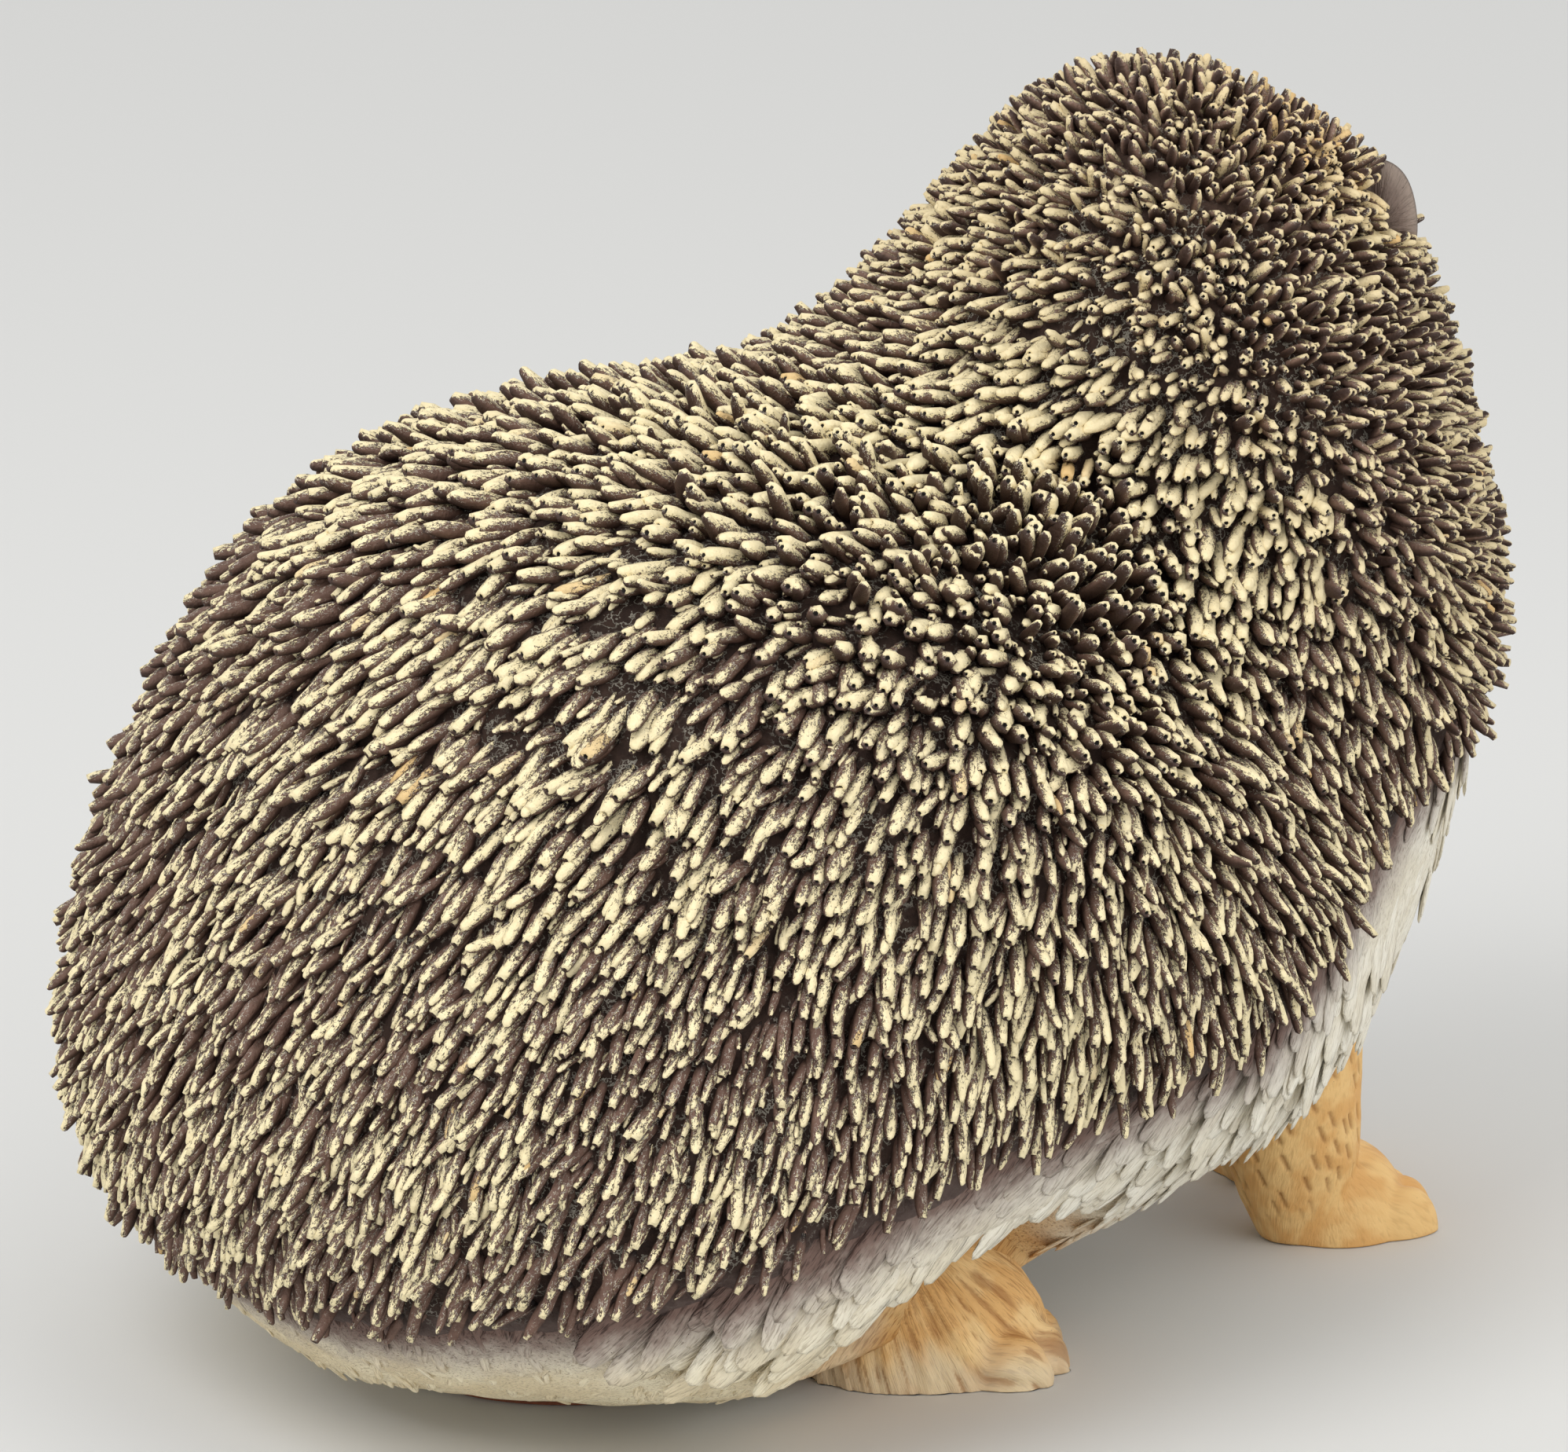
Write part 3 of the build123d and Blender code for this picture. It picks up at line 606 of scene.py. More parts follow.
def backing_finish(name):
    """Rough ground between the quills, near-black as painted shade in the depths and mottled brown by a
    grain, with webs of grey worn paint, browner on the crown; it greys towards the coat's lower edge."""
    material, tree, shader = finish(name, 0.75, 0.25)
    place = mark(tree, "lie", "Vector")
    grain = noise(tree, place, 0.6, 4.0)
    on_crown = blend(tree, grain, (84, 63, 54), (160, 130, 114))
    at_edge = blend(tree, grain, (84, 67, 62), (136, 116, 108))
    webs = placed(tree, crackle, Place=place, Fineness=0.6, Width=0.02)["Mask"]
    webs = maths(tree, "MULTIPLY", webs, step_up(tree, noise(tree, place, 0.16, 3.0), 0.42, 0.56))
    edge = step_up(tree, wavering(tree, "margin", place, 0.35, 9.0), 9.0, 1.0)
    # near-black base: painted shade between the quills, mottled brown by the grain
    ground = coated(tree, (30, 22, 20), (grain, (98, 75, 64)), (mark(tree, "crown"), on_crown),
                    (webs, 0.8, (196, 190, 174)), (edge, at_edge))
    painted(tree, shader, ground, noise(tree, place, 0.8, 6.0, 0.75), 2.0)
    return material


quill_paint, backing_paint = quill_finish("quill_paint"), backing_finish("backing_paint")

a, turn = grid(*SKIN_ENDS, 210, 270)
ground = skin(a, turn)
inside = in_coat(ground) + 5 * (rough(ground, 7) - 0.5)
lift = 1.9 * ramp(inside, -2.5, 4) - 1.6 + 1.3 * (rough(ground, 2.6) - 0.5) + 1.1 * (rough(ground, 6) - 0.5)
ground += lift[..., None] * skin_normal(a, turn)
points, faces = tube(ground)
crown = np.r_[ramp(a, 0.74, 0.88).ravel(), 0, 1]
kept = np.r_[inside.ravel() > -3, inside[0].max() > -3, inside[-1].max() > -3]
faces = [f[kept[f].all(1)] for f in faces]
used = np.unique(np.concatenate([f.ravel() for f in faces]))
renumbered = np.cumsum(np.isin(np.arange(len(points)), used)) - 1
points, faces = points[used], [renumbered[f] for f in faces]
backing = piece("coat_backing", points, faces, margin=in_coat(points), lie=lie_of(points), crown=crown[used])
solidify = backing.modifiers.new("thickness", "SOLIDIFY")
solidify.thickness, solidify.offset = 2 * MM, -1
ride(backing, "quill_resin", backing_paint)

# Each ear: its share and turn on the skin, its outward way, the room left round it, and how far out of
# the skin and down it sits, in mm.
EARS = {"left_ear": (0.753, 44, face_side, 8, 2.4, 6.5), "right_ear": (0.965, 196, -face_side, 4, 0.8, 4.6)}
ear_roots = [skin(np.array(share), np.radians(np.array(float(angle)))) for share, angle, *_ in EARS.values()]

# Three spreads of roots: the body's quills, the crown's finer ones, and stubs between them.
rng = np.random.default_rng(21)
spreads = spread(BODY_COUNT, 5, 1.15), spread(CROWN_COUNT, 6, 1.0), spread(STUB_COUNT, 9, 1.5)
a, turn = (np.concatenate(row) for row in zip(*spreads))
number, share, chance = np.arange(len(a)), ramp(a, 0.64, 0.76), rng.random(len(a))
root, normal = skin(a, turn), skin_normal(a, turn)
inside = in_coat(root) + 4 * (rough(root, 8) - 0.5)
from_ears = [np.linalg.norm(root - ear, axis=1) - sizes[3] for ear, sizes in zip(ear_roots, EARS.values())]
clear_of_ears = np.min(from_ears, 0) > 0
over_tail = 0.3 * ramp(-abs(root[:, 0]), -48, -8) * ramp(root[:, 1], 20, 50)
at_ends = np.maximum(over_tail, ramp(-root[:, 1], 95, 125))
stub = number >= BODY_COUNT + CROWN_COUNT
in_its_spread = np.where(number < BODY_COUNT, chance >= share, chance < share + stub)
keep = (inside > 5.5 - 5.5 * at_ends) & clear_of_ears & in_its_spread
on_back = ramp(root[:, 1], -20, 30) * ramp(root[:, 2], 80, 112)
keep &= rng.random(len(a)) > np.maximum(0.35 * (inside < 12), 0.32 * on_back)
a, root, normal, inside, stub = (v[keep] for v in (a, root, normal, inside, stub))
n = len(root)
crown, upright = ramp(a, 0.6, 0.76), ramp(a, 0.6, 0.78)
low, rear = 1 - ramp(root[:, 2], 70, 140), ramp(root[:, 1], -30, 40)
border = (1 - ramp(inside, 6, 24)) * (1 - crown)
rim = (1 - ramp(inside, 4, 12)) * (1 - crown)
from_swirl = np.linalg.norm(abs(root * [1, 0, 0]) + root * [0, 1, 1] - [52, -48, 138], axis=1)
downhill = unit(np.stack([0 * low, 1 - 0.45 * low, 0 * low - 1], -1))
fall, held = laid(downhill + 0.15 * rng.normal(0, 1, (n, 3)), normal)
lean = np.radians(50 - 36 * upright + 3 * low + 11 * rear + 6 * border + 10 * rim + rng.normal(0, 7, n))
lean = (lean * (0.35 + 0.65 * ramp(from_swirl, 4, 28)))[:, None] * np.minimum(1, 1.6 * held)
scatter = (0.09 + 0.1 * crown[:, None]) * rng.normal(0, 1, (n, 3))
way = unit(np.cos(lean) * normal + np.sin(lean) * fall + scatter)
small = np.where(stub, rng.uniform(0.35, 0.6, n),
                 np.where(rng.random(n) < 0.3, rng.uniform(0.55, 0.85, n), 1))
length = ((rng.uniform(*QUILL_LENGTHS, n) + 1.2 * border) * (1 - 0.38 * crown) * (1 - 0.3 * rim)
          * (1 - 0.2 * low * rear) * small)
girth = rng.uniform(*QUILL_WIDTHS, n) * (1 - 0.29 * low) * (1 - 0.34 * crown) * (1 - 0.15 * rim) * small

# Some neighbours lean together until their tips run into one blob.
for i in rng.choice(n, n // 12, replace=False):
    near = np.argsort(np.linalg.norm(root - root[i], axis=1))[1]
    middle = root[[i, near]].mean(0) + (length[[i, near], None] * way[[i, near]]).mean(0)
    for k in (i, near):
        way[k] = unit(root[k] + length[k] * way[k] + 0.8 * (middle - root[k] - length[k] * way[k]) - root[k])

# Where the brush bore hard or missed, partly painted light and shade: a centre in mm, a reach and a gain
# that fades with the distance. The losses on the rear are partly painted shade, and the gains on the crown
# and upper back are partly painted light falling from above.
BRUSHED_AND_LIT = [((-60, 80, 66), 60, -0.22), ((45, 60, 110), 50, -0.33), ((-29, -14, 151), 42, 0.3),
           ((0, 15, 140), 32, 0.12), ((-24, 90, 48), 40, -0.1)]
brushed = (0.2 + 0.12 * crown - 0.35 * rim - 0.2 * rear * (1 - ramp(inside, 8, 24))
           + 0.5 * (rough(root, 20) - 0.5))
brushed += 0.14 * (1 - ramp(from_swirl, 12, 60))
# the losses add painted shade on the rear, and the gains add painted light on the crown and upper back
for centre, reach, gain in BRUSHED_AND_LIT:
    brushed += gain * np.exp(-(np.linalg.norm(root - centre, axis=1) / reach) ** 2)
from_ochre = np.linalg.norm(root - [-26, -109, 195], axis=1)
ochre = np.maximum(np.exp(-(from_ochre / 14) ** 2), rng.random(n) < 0.02) * rng.uniform(0.0, 0.75, n)
is_open = rng.random(n) < OPEN_SHARE
rings = np.tile(QUILL_RINGS, (n, 1))
rings[is_open, -1] = OPEN_RING
at_tip = np.arange(QUILL_POINTS) >= 4 * QUILL_SIDES

# Each section of the coat: the first and last of its shares of the body, in 26ths, and its hand.
SLICES = {"coat_rump": (0, 8, 0), "coat_right_flank": (8, 15, -1), "coat_left_flank": (8, 15, 1),
          "coat_right_shoulder": (15, 20, -1), "coat_left_shoulder": (15, 20, 1), "coat_crown": (20, 26, 0)}
for number, (node, (first, last, hand)) in enumerate(SLICES.items()):
    here = (a * 26 >= first) & (a * 26 < last) & ((hand == 0) | ((root[:, 0] > -2) == (hand > 0)))
    points, faces, marks = grown(root[here] - ROOT_DEPTH * way[here], way[here], normal[here],
                                 length[here] + ROOT_DEPTH, girth[here], rings[here], QUILL_GIRTHS,
                                 QUILL_SIDES, 1.0, rng.normal(0, 0.7, here.sum()), 0.14, 30 + number)
    tips, hollow = points.reshape(-1, QUILL_POINTS, 3), is_open[here]
    tips[hollow, -1] -= OPEN_DEPTH * way[here][hollow]
    pit = np.zeros(tips.shape[:2])
    pit[hollow, -1 - QUILL_SIDES:-1], pit[hollow, -1] = 0.25, 1
    brush = brushed[here, None] + (0.15 * is_open + 0.28 * crown)[here, None] * at_tip
    marks |= {"pit": pit.ravel(), "brushed": brush.ravel()}
    for name, values in (("ochre", ochre), ("crown", crown)):
        marks[name] = np.repeat(values[here], QUILL_POINTS)
    section = piece("quills" + node[4:], tips.reshape(-1, 3), faces, **marks)
    ride(section, "quill_resin", quill_paint, node)


# Ears: small cupped ovals that stand from the sides of the head, modelled with fine folds on their
# backs and cast with it. They are painted greyish brown, paler at the rim.
ear_paint, tree, shader = finish("ear_paint", 0.65)
place = mark(tree, "lie", "Vector")
rim = step_up(tree, mark(tree, "along"), 0.55, 1.0)
spots = placed(tree, specks, Place=place, Fineness=1.3, Cover=0.2)["Mask"]
tone = coated(tree, (92, 76, 68), (noise(tree, place, 0.5, 3.0), (140, 121, 110)),
              (rim, 0.6, (156, 141, 128)), (mark(tree, "cup"), (172, 132, 108)), (spots, (92, 76, 66)))
painted(tree, shader, tone, noise(tree, stretched(tree, place, 2.2, 2.2, 0.3), 0.9), 0.9)
EAR_HALF_WIDTH, EAR_HALF_HEIGHT, EAR_DEPTH, EAR_CUP = 6.6, 10.6, 3.5, 2.2
BACK_RINGS, FRONT_RINGS = 26, 24
for (name, (_, _, outward, _, out_by, down_by)), root in zip(EARS.items(), ear_roots):
    reach = np.r_[np.linspace(0.02, 1, BACK_RINGS), np.linspace(0.99, 0.02, FRONT_RINGS)][:, None]
    round_ = even_turns(72)[None, :]
    front = (np.arange(len(reach)) >= BACK_RINGS)[:, None]
    bulge = EAR_DEPTH * np.sqrt(1 - 0.97 * reach**2) - 0.6 * EAR_DEPTH
    fine_folds = 0.16 * np.cos(26 * round_) * reach * (1 - reach) * 4
    folds = fine_folds + 0.6 * np.cos(5 * round_ + 2 + 2 * reach) * reach
    depth = bulge + folds - front * EAR_CUP * (1 - reach**6)
    x = EAR_HALF_WIDTH * reach * np.cos(round_)
    z = EAR_HALF_HEIGHT * reach * np.sin(round_) * (1 + 0.06 * np.sin(round_))
    points, faces = tube(moved(root, (out_by, outward), (-down_by, UP), (x, face_side), (-depth, face_way),
                               (z, UP)))
    full = lambda values: np.r_[np.broadcast_to(values, x.shape).ravel(), 0, 0]
    ear = piece(name + "_cup", points, faces, along=full(reach), cup=full(0.8 * front * (1 - reach**4)),
                lie=np.stack([full(6 * np.cos(round_)), full(6 * np.sin(round_)), full(9 * reach)], -1))
    ride(ear, "ear_resin", ear_paint, name)


# Forelegs: two columns modelled with the paws, with short slanting strokes cut by hand, painted tan
# with an ochre wash in the strokes and joined to the chest under the scalloped fur.
def melted(name, shells, voxel, rounds):
    """One piece from overlapping shells: remeshed in voxels of that size in mm, then softened. Returns
    the object with its points in mm and their normals."""
    obj = piece(name, *together(shells))
    remesh = obj.modifiers.new("melt", "REMESH")
    remesh.mode, remesh.voxel_size = "VOXEL", voxel * MM
    soften = obj.modifiers.new("soften", "SMOOTH")
    soften.iterations = rounds
    obj.data = bpy.data.meshes.new_from_object(obj.evaluated_get(bpy.context.evaluated_depsgraph_get()))
    obj.modifiers.clear()
    obj.data.shade_smooth()
    points, normals = np.zeros((2, 3 * len(obj.data.vertices)), np.float32)
    obj.data.vertices.foreach_get("co", points)
    obj.data.vertex_normals.foreach_get("vector", normals)
    return obj, points.reshape(-1, 3).astype(float) / MM, normals.reshape(-1, 3).astype(float)


def reshape(obj, points, **marks):
    """Moves the piece's points to new places in mm and keeps marks at them."""
    obj.data.vertices.foreach_set("co", (points * MM).astype(np.float32).ravel())
    obj.data.update()
    mark_points(obj.data, **marks)


POLE = 1.5  # the rise of a bead's or an egg's last rings, in radians


def globe(centre, halves, axes, rise, round_):
    """Rounded solid: along the first axis its half times the cosines of the rise and the turn, along the
    second its half times the rise's cosine and the turn's sine, and along the third times the rise's sine."""
    amounts = (halves[0] * np.cos(rise) * np.cos(round_), halves[1] * np.cos(rise) * np.sin(round_),
               halves[2] * np.sin(rise))
    return tube(moved(centre, *zip(amounts, axes)))


def egg(centre, halves, forward):
    """Ellipsoid with half axes forward, sideways and up."""
    return globe(centre, halves, (forward, np.cross(UP, forward), UP), *grid(-POLE, POLE, 24, 32))


def leg_finish(name, light, tan, stroke, fineness, wash):
    """Tan paint with an ochre wash in the cut strokes, cream where the strands stand out, ivory at the
    top where the body's fur is sprayed over it, and fine brown specks."""
    material, tree, shader = finish(name, 0.62)
    lie = mark(tree, "lie", "Vector")
    hair = placed(tree, strands, Lie=lie, Fineness=fineness)
    spots = placed(tree, specks, Place=lie, Fineness=2.0, Cover=0.08)["Mask"]
    tone = coated(tree, tan, (step_up(tree, noise(tree, lie, 0.16, 2.0), 0.4, 0.64), light),
                  (hair["Groove"], wash, stroke), (mark(tree, "pale"), (226, 214, 186)),
                  (mark(tree, "groove"), 0.75, stroke), (mark(tree, "toe"), 0.8, (122, 94, 66)),
                  (spots, 0.6, (112, 84, 58)))
    painted(tree, shader, tone, hair["Height"], 0.3)
    return material


def dashes(u, v, wide, tall, thick, long):
    """Short cuts laid like loose bricks, 1 in a cut and 0 outside: in two cells of three, wide by tall mm,
    one cut lies at a random place, thick across and long down; each column starts at its own height."""
    column = np.floor(u / wide).astype(int)
    v = v + tall * LATTICE[column % LATTICE_SIZE, 3, 5]
    row = np.floor(v / tall).astype(int)
    first, second, cut_here = (LATTICE[column % LATTICE_SIZE, row % LATTICE_SIZE, k] for k in (1, 2, 3))
    across = u - (column + 0.3 + 0.4 * first) * wide
    down = v - (row + 0.4 + 0.2 * second) * tall
    ends = 1 - ramp(abs(down), 0.3 * long, 0.5 * long)
    return (cut_here > 0.35) * np.exp(-((across + 0.12 * down) / thick) ** 2) * ends


leg_paint = leg_finish("leg_paint", (234, 194, 130), (220, 170, 104), (152, 106, 56), 1.6, 0.16)
LEG_RADIUS, LEG_HEIGHT, LEG_LEAN = 12.4, 74, 5
LEG_RISES, LEG_GIRTHS = [0, 0.1, 0.22, 0.6, 1.0], [0.5, 0.76, 0.96, 1.08, 1.22]
TOE_SPREADS, TOE_SETS = (-0.72, -0.25, 0.25, 0.72), (0.62, 0.8, 0.8, 0.62)


def paw(centre, turn, halves, toe):
    """A foot as overlapping eggs: the pad, and four toes spread across its front."""
    way = heading(turn)
    sideways = np.cross(UP, way)
    toes = [egg(centre + halves[0] * s * way + halves[1] * w * sideways, toe, way)
            for w, s in zip(TOE_SPREADS, TOE_SETS)]
    return [egg(centre, halves, way), *toes]


for name, side, forward, turn in (("right_foreleg", -21.5, 118, -6), ("left_foreleg", 6, 132, 42)):
    foot = np.array([side, -forward, 0])
    rise = np.linspace(0, 1, 40)[:, None]
    round_ = even_turns(48)[None, :]
    girth = LEG_RADIUS * np.interp(rise, LEG_RISES, LEG_GIRTHS)
    column = moved(foot, (rise, LEG_HEIGHT * UP - LEG_LEAN * heading(0)), (girth * np.cos(round_), SIDE),
                   (girth * np.sin(round_), heading(180)))
    shells = [tube(column), *paw(foot + 9 * heading(turn), turn, (12.5, 11.5, 16), (7, 3.6, 8.5))]
    leg, p, normal = melted(name + "_carving", shells, 0.5, 12)
    d = p - foot
    angle = np.arctan2(d[:, 0], -d[:, 1])
    slant = np.stack([LEG_RADIUS * np.cos(angle), LEG_RADIUS * np.sin(angle) + 0.3 * d[:, 2], d[:, 2]], -1)
    high = ramp(p[:, 2] + 0.4 * d[:, 1], 5, 14)
    cut = dashes(LEG_RADIUS * angle + 0.3 * d[:, 2], d[:, 2], 2.6, 5.2, 0.42, 3.8) * high
    strand = rough(slant * [1, 1, 0.16], 1.3) - 0.5
    p = p - (0.5 * cut - 0.3 * strand * ramp(p[:, 2], 3, 20))[:, None] * normal
    p[:, 2] = np.maximum(p[:, 2], 0)
    pale = ramp(p[:, 2] + 9 * (rough(slant * [1, 1, 0.2], 2) - 0.5), 40, 56)
    reshape(leg, p, lie=slant, groove=cut, pale=pale, toe=0 * angle)
    ride(leg, "leg_resin", leg_paint, name)


# Hind feet: low lumps under the flanks, with long strands combed from the ankle to the toes, tan with
# darker toes.
COMB_RADIUS, COMB_SWEEP = 24, 40
hind_paint = leg_finish("hind_paint", (246, 210, 150), (232, 184, 118), (160, 106, 54), 2.6, 0.5)
for name, hand in (("left_hind_foot", 1), ("right_hind_foot", -1)):
    centre, way = np.array([hand * 38.5, -28, 0.0]), heading(hand * 29)
    sideways = np.cross(UP, way)
    foot, p, normal = melted(name + "_carving", paw(centre, hand * 29, (21, 14, 25), (7, 4.2, 9)), 0.5, 13)
    d = p - (centre + 19 * UP - 6 * way)
    away = np.linalg.norm(d, axis=1)
    swept = np.arctan2(d @ sideways, d @ way) + hand * away / COMB_SWEEP
    comb = np.stack([COMB_RADIUS * np.cos(swept), COMB_RADIUS * np.sin(swept), away], -1)
    strand = rough(comb * [1, 1, 0.22], 0.9)
    lock = rough(comb * [1, 1, 0.25] + 40, 3.2)
    cut = ramp(strand, 0.42, 0.2)
    between = np.exp(-((p - centre) @ sideways / 14 % 0.48 / 0.06) ** 2) * ramp((p - centre) @ way, 20, 23)
    p = p + (0.8 * (strand - 0.6) + 1.0 * (lock - 0.6))[:, None] * normal
    p[:, 2] = np.maximum(p[:, 2], 0)
    toe = ramp((p - centre) @ way + 4 * (lock - 0.5), 19, 27) * ramp(p[:, 2], 1, 5)
    pale = 0.6 * (1 - ramp(p[:, 2] + 6 * lock, 5, 12))
    reshape(foot, p, lie=comb, groove=np.maximum(0.8 * cut, 0.6 * between), toe=toe, pale=pale)
    ride(foot, "leg_resin", hind_paint, name)


# Face: the brow, cheeks and tapering snout, modelled with small locks of fur that run back from the
# nose. The finish goes from a brown muzzle to tan and ivory cheeks.
SNOUT = [(0.08, 0.86, 0.86, 0), (0.36, 1, 1, 0.1), (0.52, 0.78, 0.74, 0.45), (0.68, 0.52, 0.5, 0.8),
         (0.82, 0.35, 0.34, 0.95), (0.94, 0.25, 0.24, 1), (1, 0.17, 0.16, 1)]
BROW_HALF_WIDTH, BROW_HALF_HEIGHT, SNOUT_REACH, SNOUT_DROP = 32, 33, 76, 10
EYE_PLACE, EYE_RADIUS, EYE_CLEARANCE = (43.3, 15.7, 8.3), 5, 7.2


def on_face(forward, sideways, up):
    """The place so many mm ahead of the head's centre, to its left and up."""
    return moved(head, (forward, face_way), (sideways, face_side), (up, UP))


def nearest(p, places):
    """Distance of each point to the nearest of some places."""
    return np.min([np.linalg.norm(p - place, axis=1) for place in places], 0)


reach = np.linspace(0.08, 1, 60)
stations, *shares = zip(*SNOUT)
width, tall, drop = (np.interp(reach, stations, share)[:, None] for share in shares)
round_ = even_turns(64)[None, :]
cone = moved(head, (reach[:, None] * SNOUT_REACH, face_way), (-drop * SNOUT_DROP, UP),
             (width * BROW_HALF_WIDTH * np.cos(round_), face_side),
             (tall * BROW_HALF_HEIGHT * np.sin(round_), UP))
EYES = {name: on_face(EYE_PLACE[0], hand * EYE_PLACE[1], EYE_PLACE[2])
        for name, hand in (("left_eye", 1), ("right_eye", -1))}
shells = [tube(cone[:, ::-1])]
for hand in (1, -1):
    shells += [egg(on_face(34, hand * 17, -9), (15, 12, 13), face_way),
               egg(on_face(36, hand * 12, 15.5), (10, 8, 6), face_way),
               egg(on_face(66, hand * 4, -13), (9, 5.5, 5.5), face_way)]
shells.append(egg(on_face(54, 0, -17), (17, 8, 6), face_way))
face, p, normal = melted("face_carving", shells, 0.75, 17)
d = p - head
forward, sideways, up = d @ face_way, d @ face_side, d[:, 2]
from_eye = nearest(p, EYES.values())
mouth = -14.5 - 0.0035 * (forward - 76) ** 2 + 0.012 * abs(sideways) ** 1.5
lips = np.exp(-((up - mouth) / 0.8) ** 2) * ramp(forward, 44, 52)
comb = np.stack([0.8 * forward, 12 * np.arctan2(sideways, up + 6), forward], -1)
strand = rough(comb * [0, 1, 0.16], 1.1) - 0.5
p = p - (1.1 * lips - 0.7 * strand * ramp(from_eye, 6, 9))[:, None] * normal
p = p - (1.6 * np.exp(-((from_eye - 5.2) / 1.2) ** 2))[:, None] * normal
reshape(face, p, lie=comb, forward=forward, cheek=ramp(-up + 0.5 * abs(sideways), 2, 16),
        groove=np.maximum(lips, 0.8 * (1 - ramp(from_eye, 5, 8))))

face_paint, tree, shader = finish("face_paint", 0.68)
lie = mark(tree, "lie", "Vector")
hair = placed(tree, strands, Lie=lie, Fineness=1.1)
off_muzzle = step_up(tree, wavering(tree, "forward", lie, 0.2, 16.0), 62.0, 34.0)
tone = coated(tree, (122, 92, 68), (off_muzzle, (196, 162, 118)), (mark(tree, "cheek"), (220, 206, 180)),
              (hair["Groove"], 0.55, (128, 98, 70)), (mark(tree, "groove"), (52, 38, 32)))
painted(tree, shader, tone, hair["Height"], 0.4)
ride(face, "face_resin", face_paint, "face")

# Tufts: one in each cell of a lattice that the face passes through, clear of the eyes, lips and muzzle.
TUFT_CELL, TUFT_LENGTH, TUFT_GIRTH = 2.6, 8.5, 3.9
_, first = np.unique(np.floor(p / TUFT_CELL + 0.3 * normal).astype(int), axis=0, return_index=True)
clear = (from_eye[first] > 7.5) & (forward[first] < 70) & (forward[first] > 20) & (lips[first] < 0.1)
first = first[clear]
root, out_of, reach = p[first], normal[first], forward[first]
rng = np.random.default_rng(41)
off_axis = d[first] - (d[first] @ face_way)[:, None] * face_way
fall, _ = laid(-face_way - 0.35 * UP + 0.25 * off_axis / 20 + rng.normal(0, 0.12, root.shape), out_of)
way = unit(fall + 0.12 * out_of)
size = np.interp(reach, [20, 45, 72], [1, 0.7, 0.36]) * rng.uniform(0.8, 1.15, len(root))
seen = np.min([nearest(root + share * TUFT_LENGTH * size[:, None] * way, EYES.values())
               for share in (0.5, 0.8, 1.1)], 0) > EYE_CLEARANCE
root, way, out_of, size = root[seen], way[seen], out_of[seen], size[seen]
points, faces, marks = grown(root - 0.9 * size[:, None] * out_of, way, out_of, TUFT_LENGTH * size,
                             TUFT_GIRTH * size, LOCK_RINGS, LOCK_GIRTHS, 7, 0.4, 0.5 * size, 0.1, 42)
d = points - head
tufts = piece("face_locks", points, faces, **marks, forward=d @ face_way, groove=np.zeros(len(points)),
              cheek=ramp(-d[:, 2] + 0.5 * abs(d @ face_side), 2, 16))
ride(tufts, "face_resin", face_paint)


# Eyes and nose: glossy beads set in sockets; the nose is wide, with two nostrils and a fine grain.
def grained(name, roughness, specular, dark, light, fineness, detail, depth):
    """Finish of two paints mixed by a fine grain, which is also raised by that depth in mm."""
    material, tree, shader = finish(name, roughness, specular)
    grain = noise(tree, add(tree, "TexCoord").outputs["Object"], fineness, detail)
    painted(tree, shader, blend(tree, grain, dark, light), grain, depth)
    return material, shader


gloss, shader = grained("gloss_black", 0.12, 0.5, (14, 11, 10), (42, 28, 21), 260.0, 3.0, 0)
shader.inputs["Coat Weight"].default_value = 0.6
shader.inputs["Coat Roughness"].default_value = 0.04
for name, centre in EYES.items():
    rise, round_ = grid(-POLE, POLE, 30, 40)
    look = unit(centre - on_face(30, 0, 0))
    beside = unit(np.cross(UP, look))
    radius = EYE_RADIUS + 0.35 * ramp(rise, 0.75, 1.25)
    bead = globe(centre, [radius] * 3, (beside, np.cross(look, beside), look), rise, round_)
    ride(piece(name + "_bead", *bead), "gloss_black", gloss, name)

nose_paint, _ = grained("nose_paint", 0.28, 0.5, (20, 16, 15), (48, 38, 35), 1400.0, 2.0, 0.25)
wings = [egg(on_face(78, hand * 3, -10.5), (4.4, 3.6, 4), face_way) for hand in (1, -1)]
nose, p, normal = melted("nose_bead", [egg(on_face(76, 0, -10), (7, 6.8, 5.6), face_way), *wings], 0.3, 8)
nostril = 1.7 * (1 - ramp(nearest(p, [on_face(82.2, hand * 2.8, -11) for hand in (1, -1)]), 0.4, 2.0))
cleft = 0.7 * np.exp(-((p - head) @ face_side / 0.5) ** 2) * ramp((p - head) @ face_way, 79, 81)
p = p - (nostril + cleft)[:, None] * normal
reshape(nose, p)
ride(nose, "gloss_black", nose_paint, "nose")


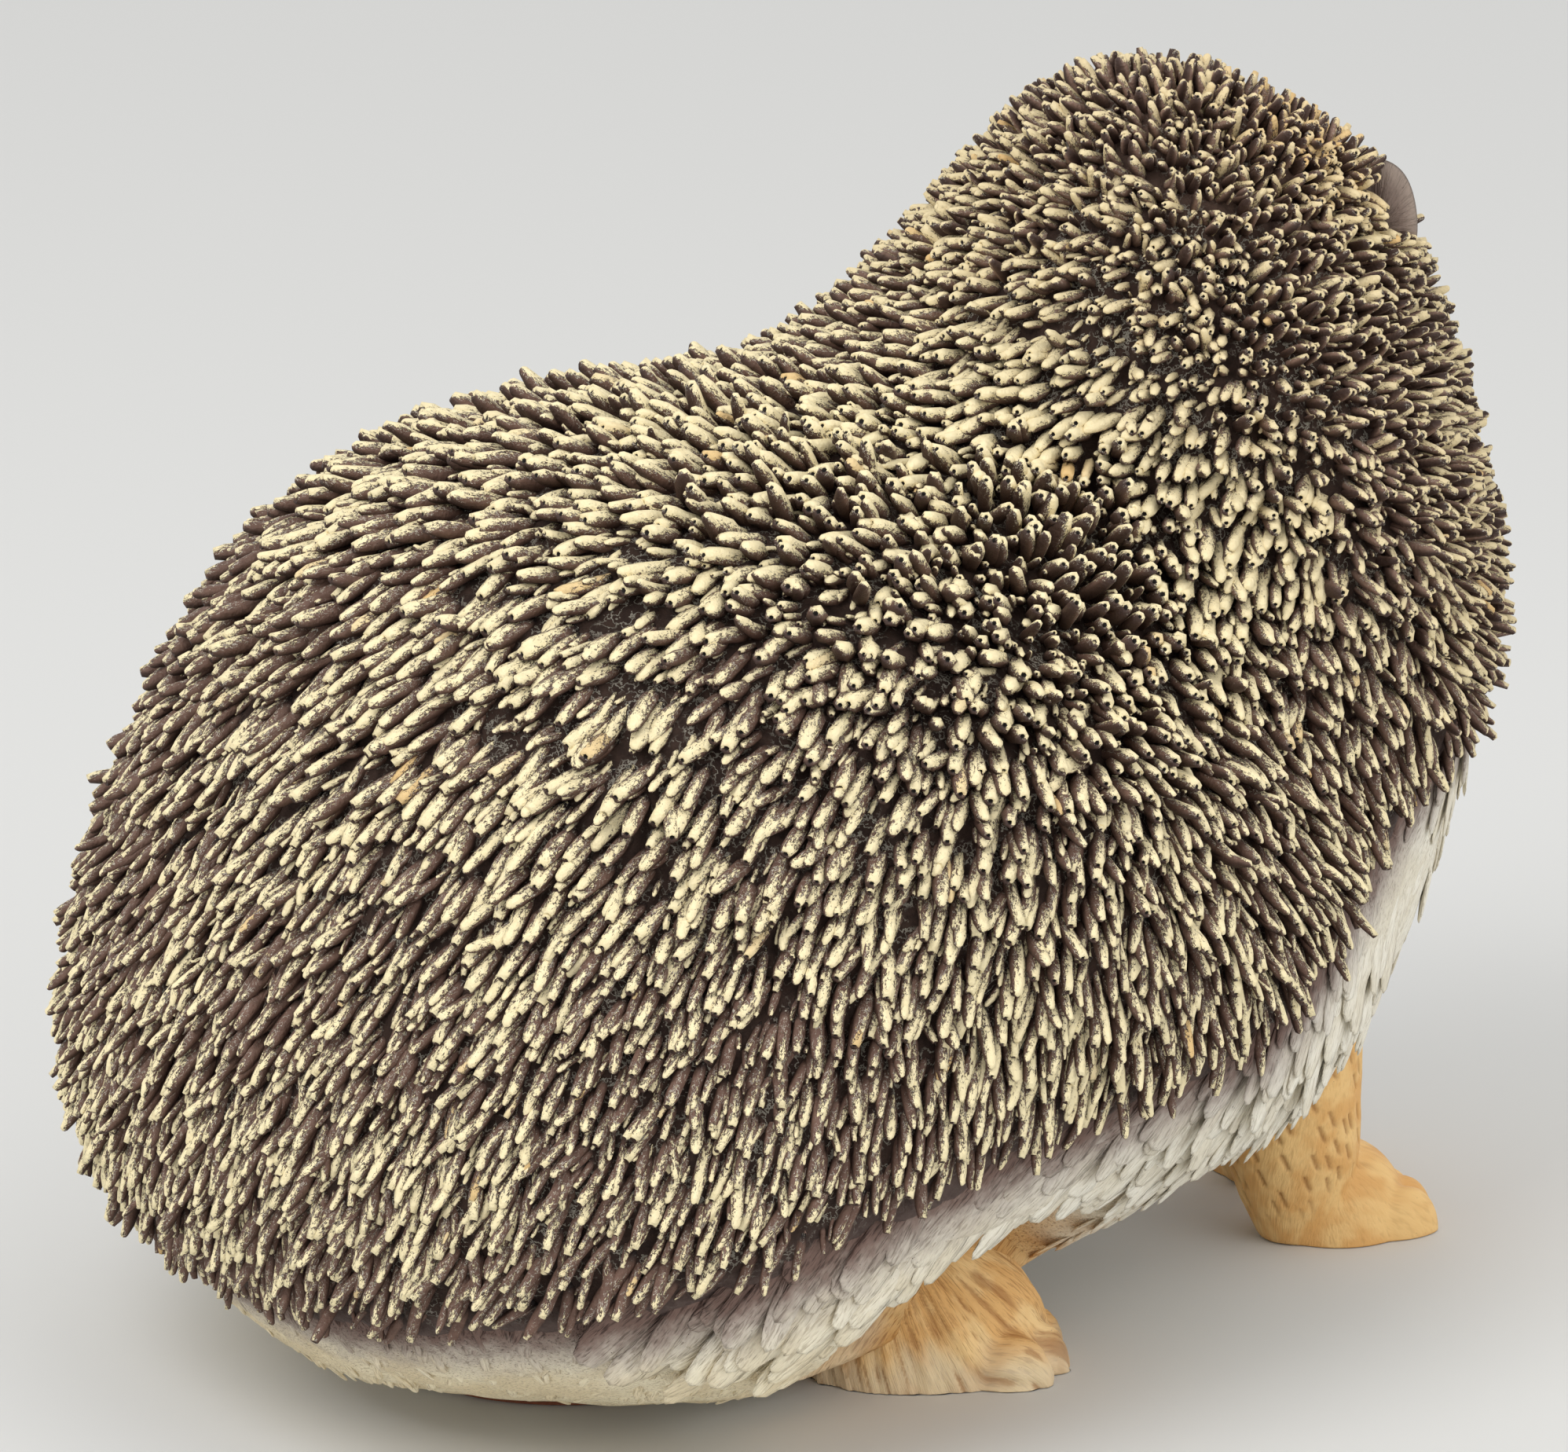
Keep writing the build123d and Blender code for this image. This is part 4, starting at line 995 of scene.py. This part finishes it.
# Closing plate, vent bung and pad: the plate is glued into its ledge, the bung pushed into the vent, and
# the pad stuck on under both. They are the CAD's own solids, with moulded and cut finishes.
for node, name, dark, light, roughness, fineness, depth in (
        ("base_plate", "plain_resin", (186, 176, 156), (214, 206, 188), 0.75, 320.0, 0.2),
        ("vent_bung", "bung_rubber", (22, 21, 21), (44, 42, 41), 0.7, 900.0, 0.1),
        ("base_pad", "pad_rubber", (104, 58, 40), (146, 88, 62), 0.9, 1500.0, 0.3)):
    material, _ = grained(name, roughness, 0.35, dark, light, fineness, 4.0, depth)
    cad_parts[node].data.materials.clear()
    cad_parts[node].data.materials.append(material)


# Studio: a plain pale floor, two soft lamps over the camera's side and an even pale sky.
FLOOR_REACH, FLOOR_DROP = 30000, 0.15
corners = FLOOR_REACH * np.array([[-1, -1, 0], [1, -1, 0], [1, 1, 0], [-1, 1, 0]]) - FLOOR_DROP * UP
floor = piece("floor", corners, [np.array([[0, 1, 2, 3]])])
matt, tree, shader = finish("pale_floor", 0.9, 0.1)
shader.inputs["Base Color"].default_value = colour(214, 214, 212)
floor.data.materials.append(matt)

AZIMUTH, ELEVATION, DISTANCE = np.radians(235.7), np.radians(15.6), 1250
AIM = np.array([-8.4, -20.4, 103.2])
FOCAL_PIXELS, PHOTO_WIDTH, SENSOR = 9750, 1996, 36
back = np.array([np.sin(AZIMUTH) * np.cos(ELEVATION), -np.cos(AZIMUTH) * np.cos(ELEVATION),
                 np.sin(ELEVATION)])
right = np.array([np.cos(AZIMUTH), np.sin(AZIMUTH), 0])


def turned(obj, place, target):
    """Puts a camera or lamp at a place in mm, looking at a target."""
    obj.location = Vector(place * MM)
    obj.rotation_euler = Vector(target - place).to_track_quat("-Z", "Y").to_euler()
    bpy.context.scene.collection.objects.link(obj)


camera = bpy.data.objects.new("camera", bpy.data.cameras.new("camera"))
camera.data.sensor_width = SENSOR
camera.data.lens = FOCAL_PIXELS / PHOTO_WIDTH * SENSOR
turned(camera, AIM + DISTANCE * back, AIM)
bpy.context.scene.camera = camera
for name, place, watts, size in (("key", AIM + 900 * back - 650 * right + 950 * UP, 12, 0.9),
                                 ("fill", AIM + 900 * back + 900 * right + 350 * UP, 4, 1.0)):
    lamp = bpy.data.objects.new(name, bpy.data.lights.new(name, "AREA"))
    lamp.data.energy, lamp.data.size = watts, size
    turned(lamp, place, AIM)
world = bpy.data.worlds.new("sky")
bpy.context.scene.world = world
world.use_nodes = True
sky = world.node_tree.nodes["Background"].inputs
sky["Color"].default_value, sky["Strength"].default_value = (1, 1, 1, 1), 0.88
bpy.context.scene.view_settings.view_transform = "Standard"
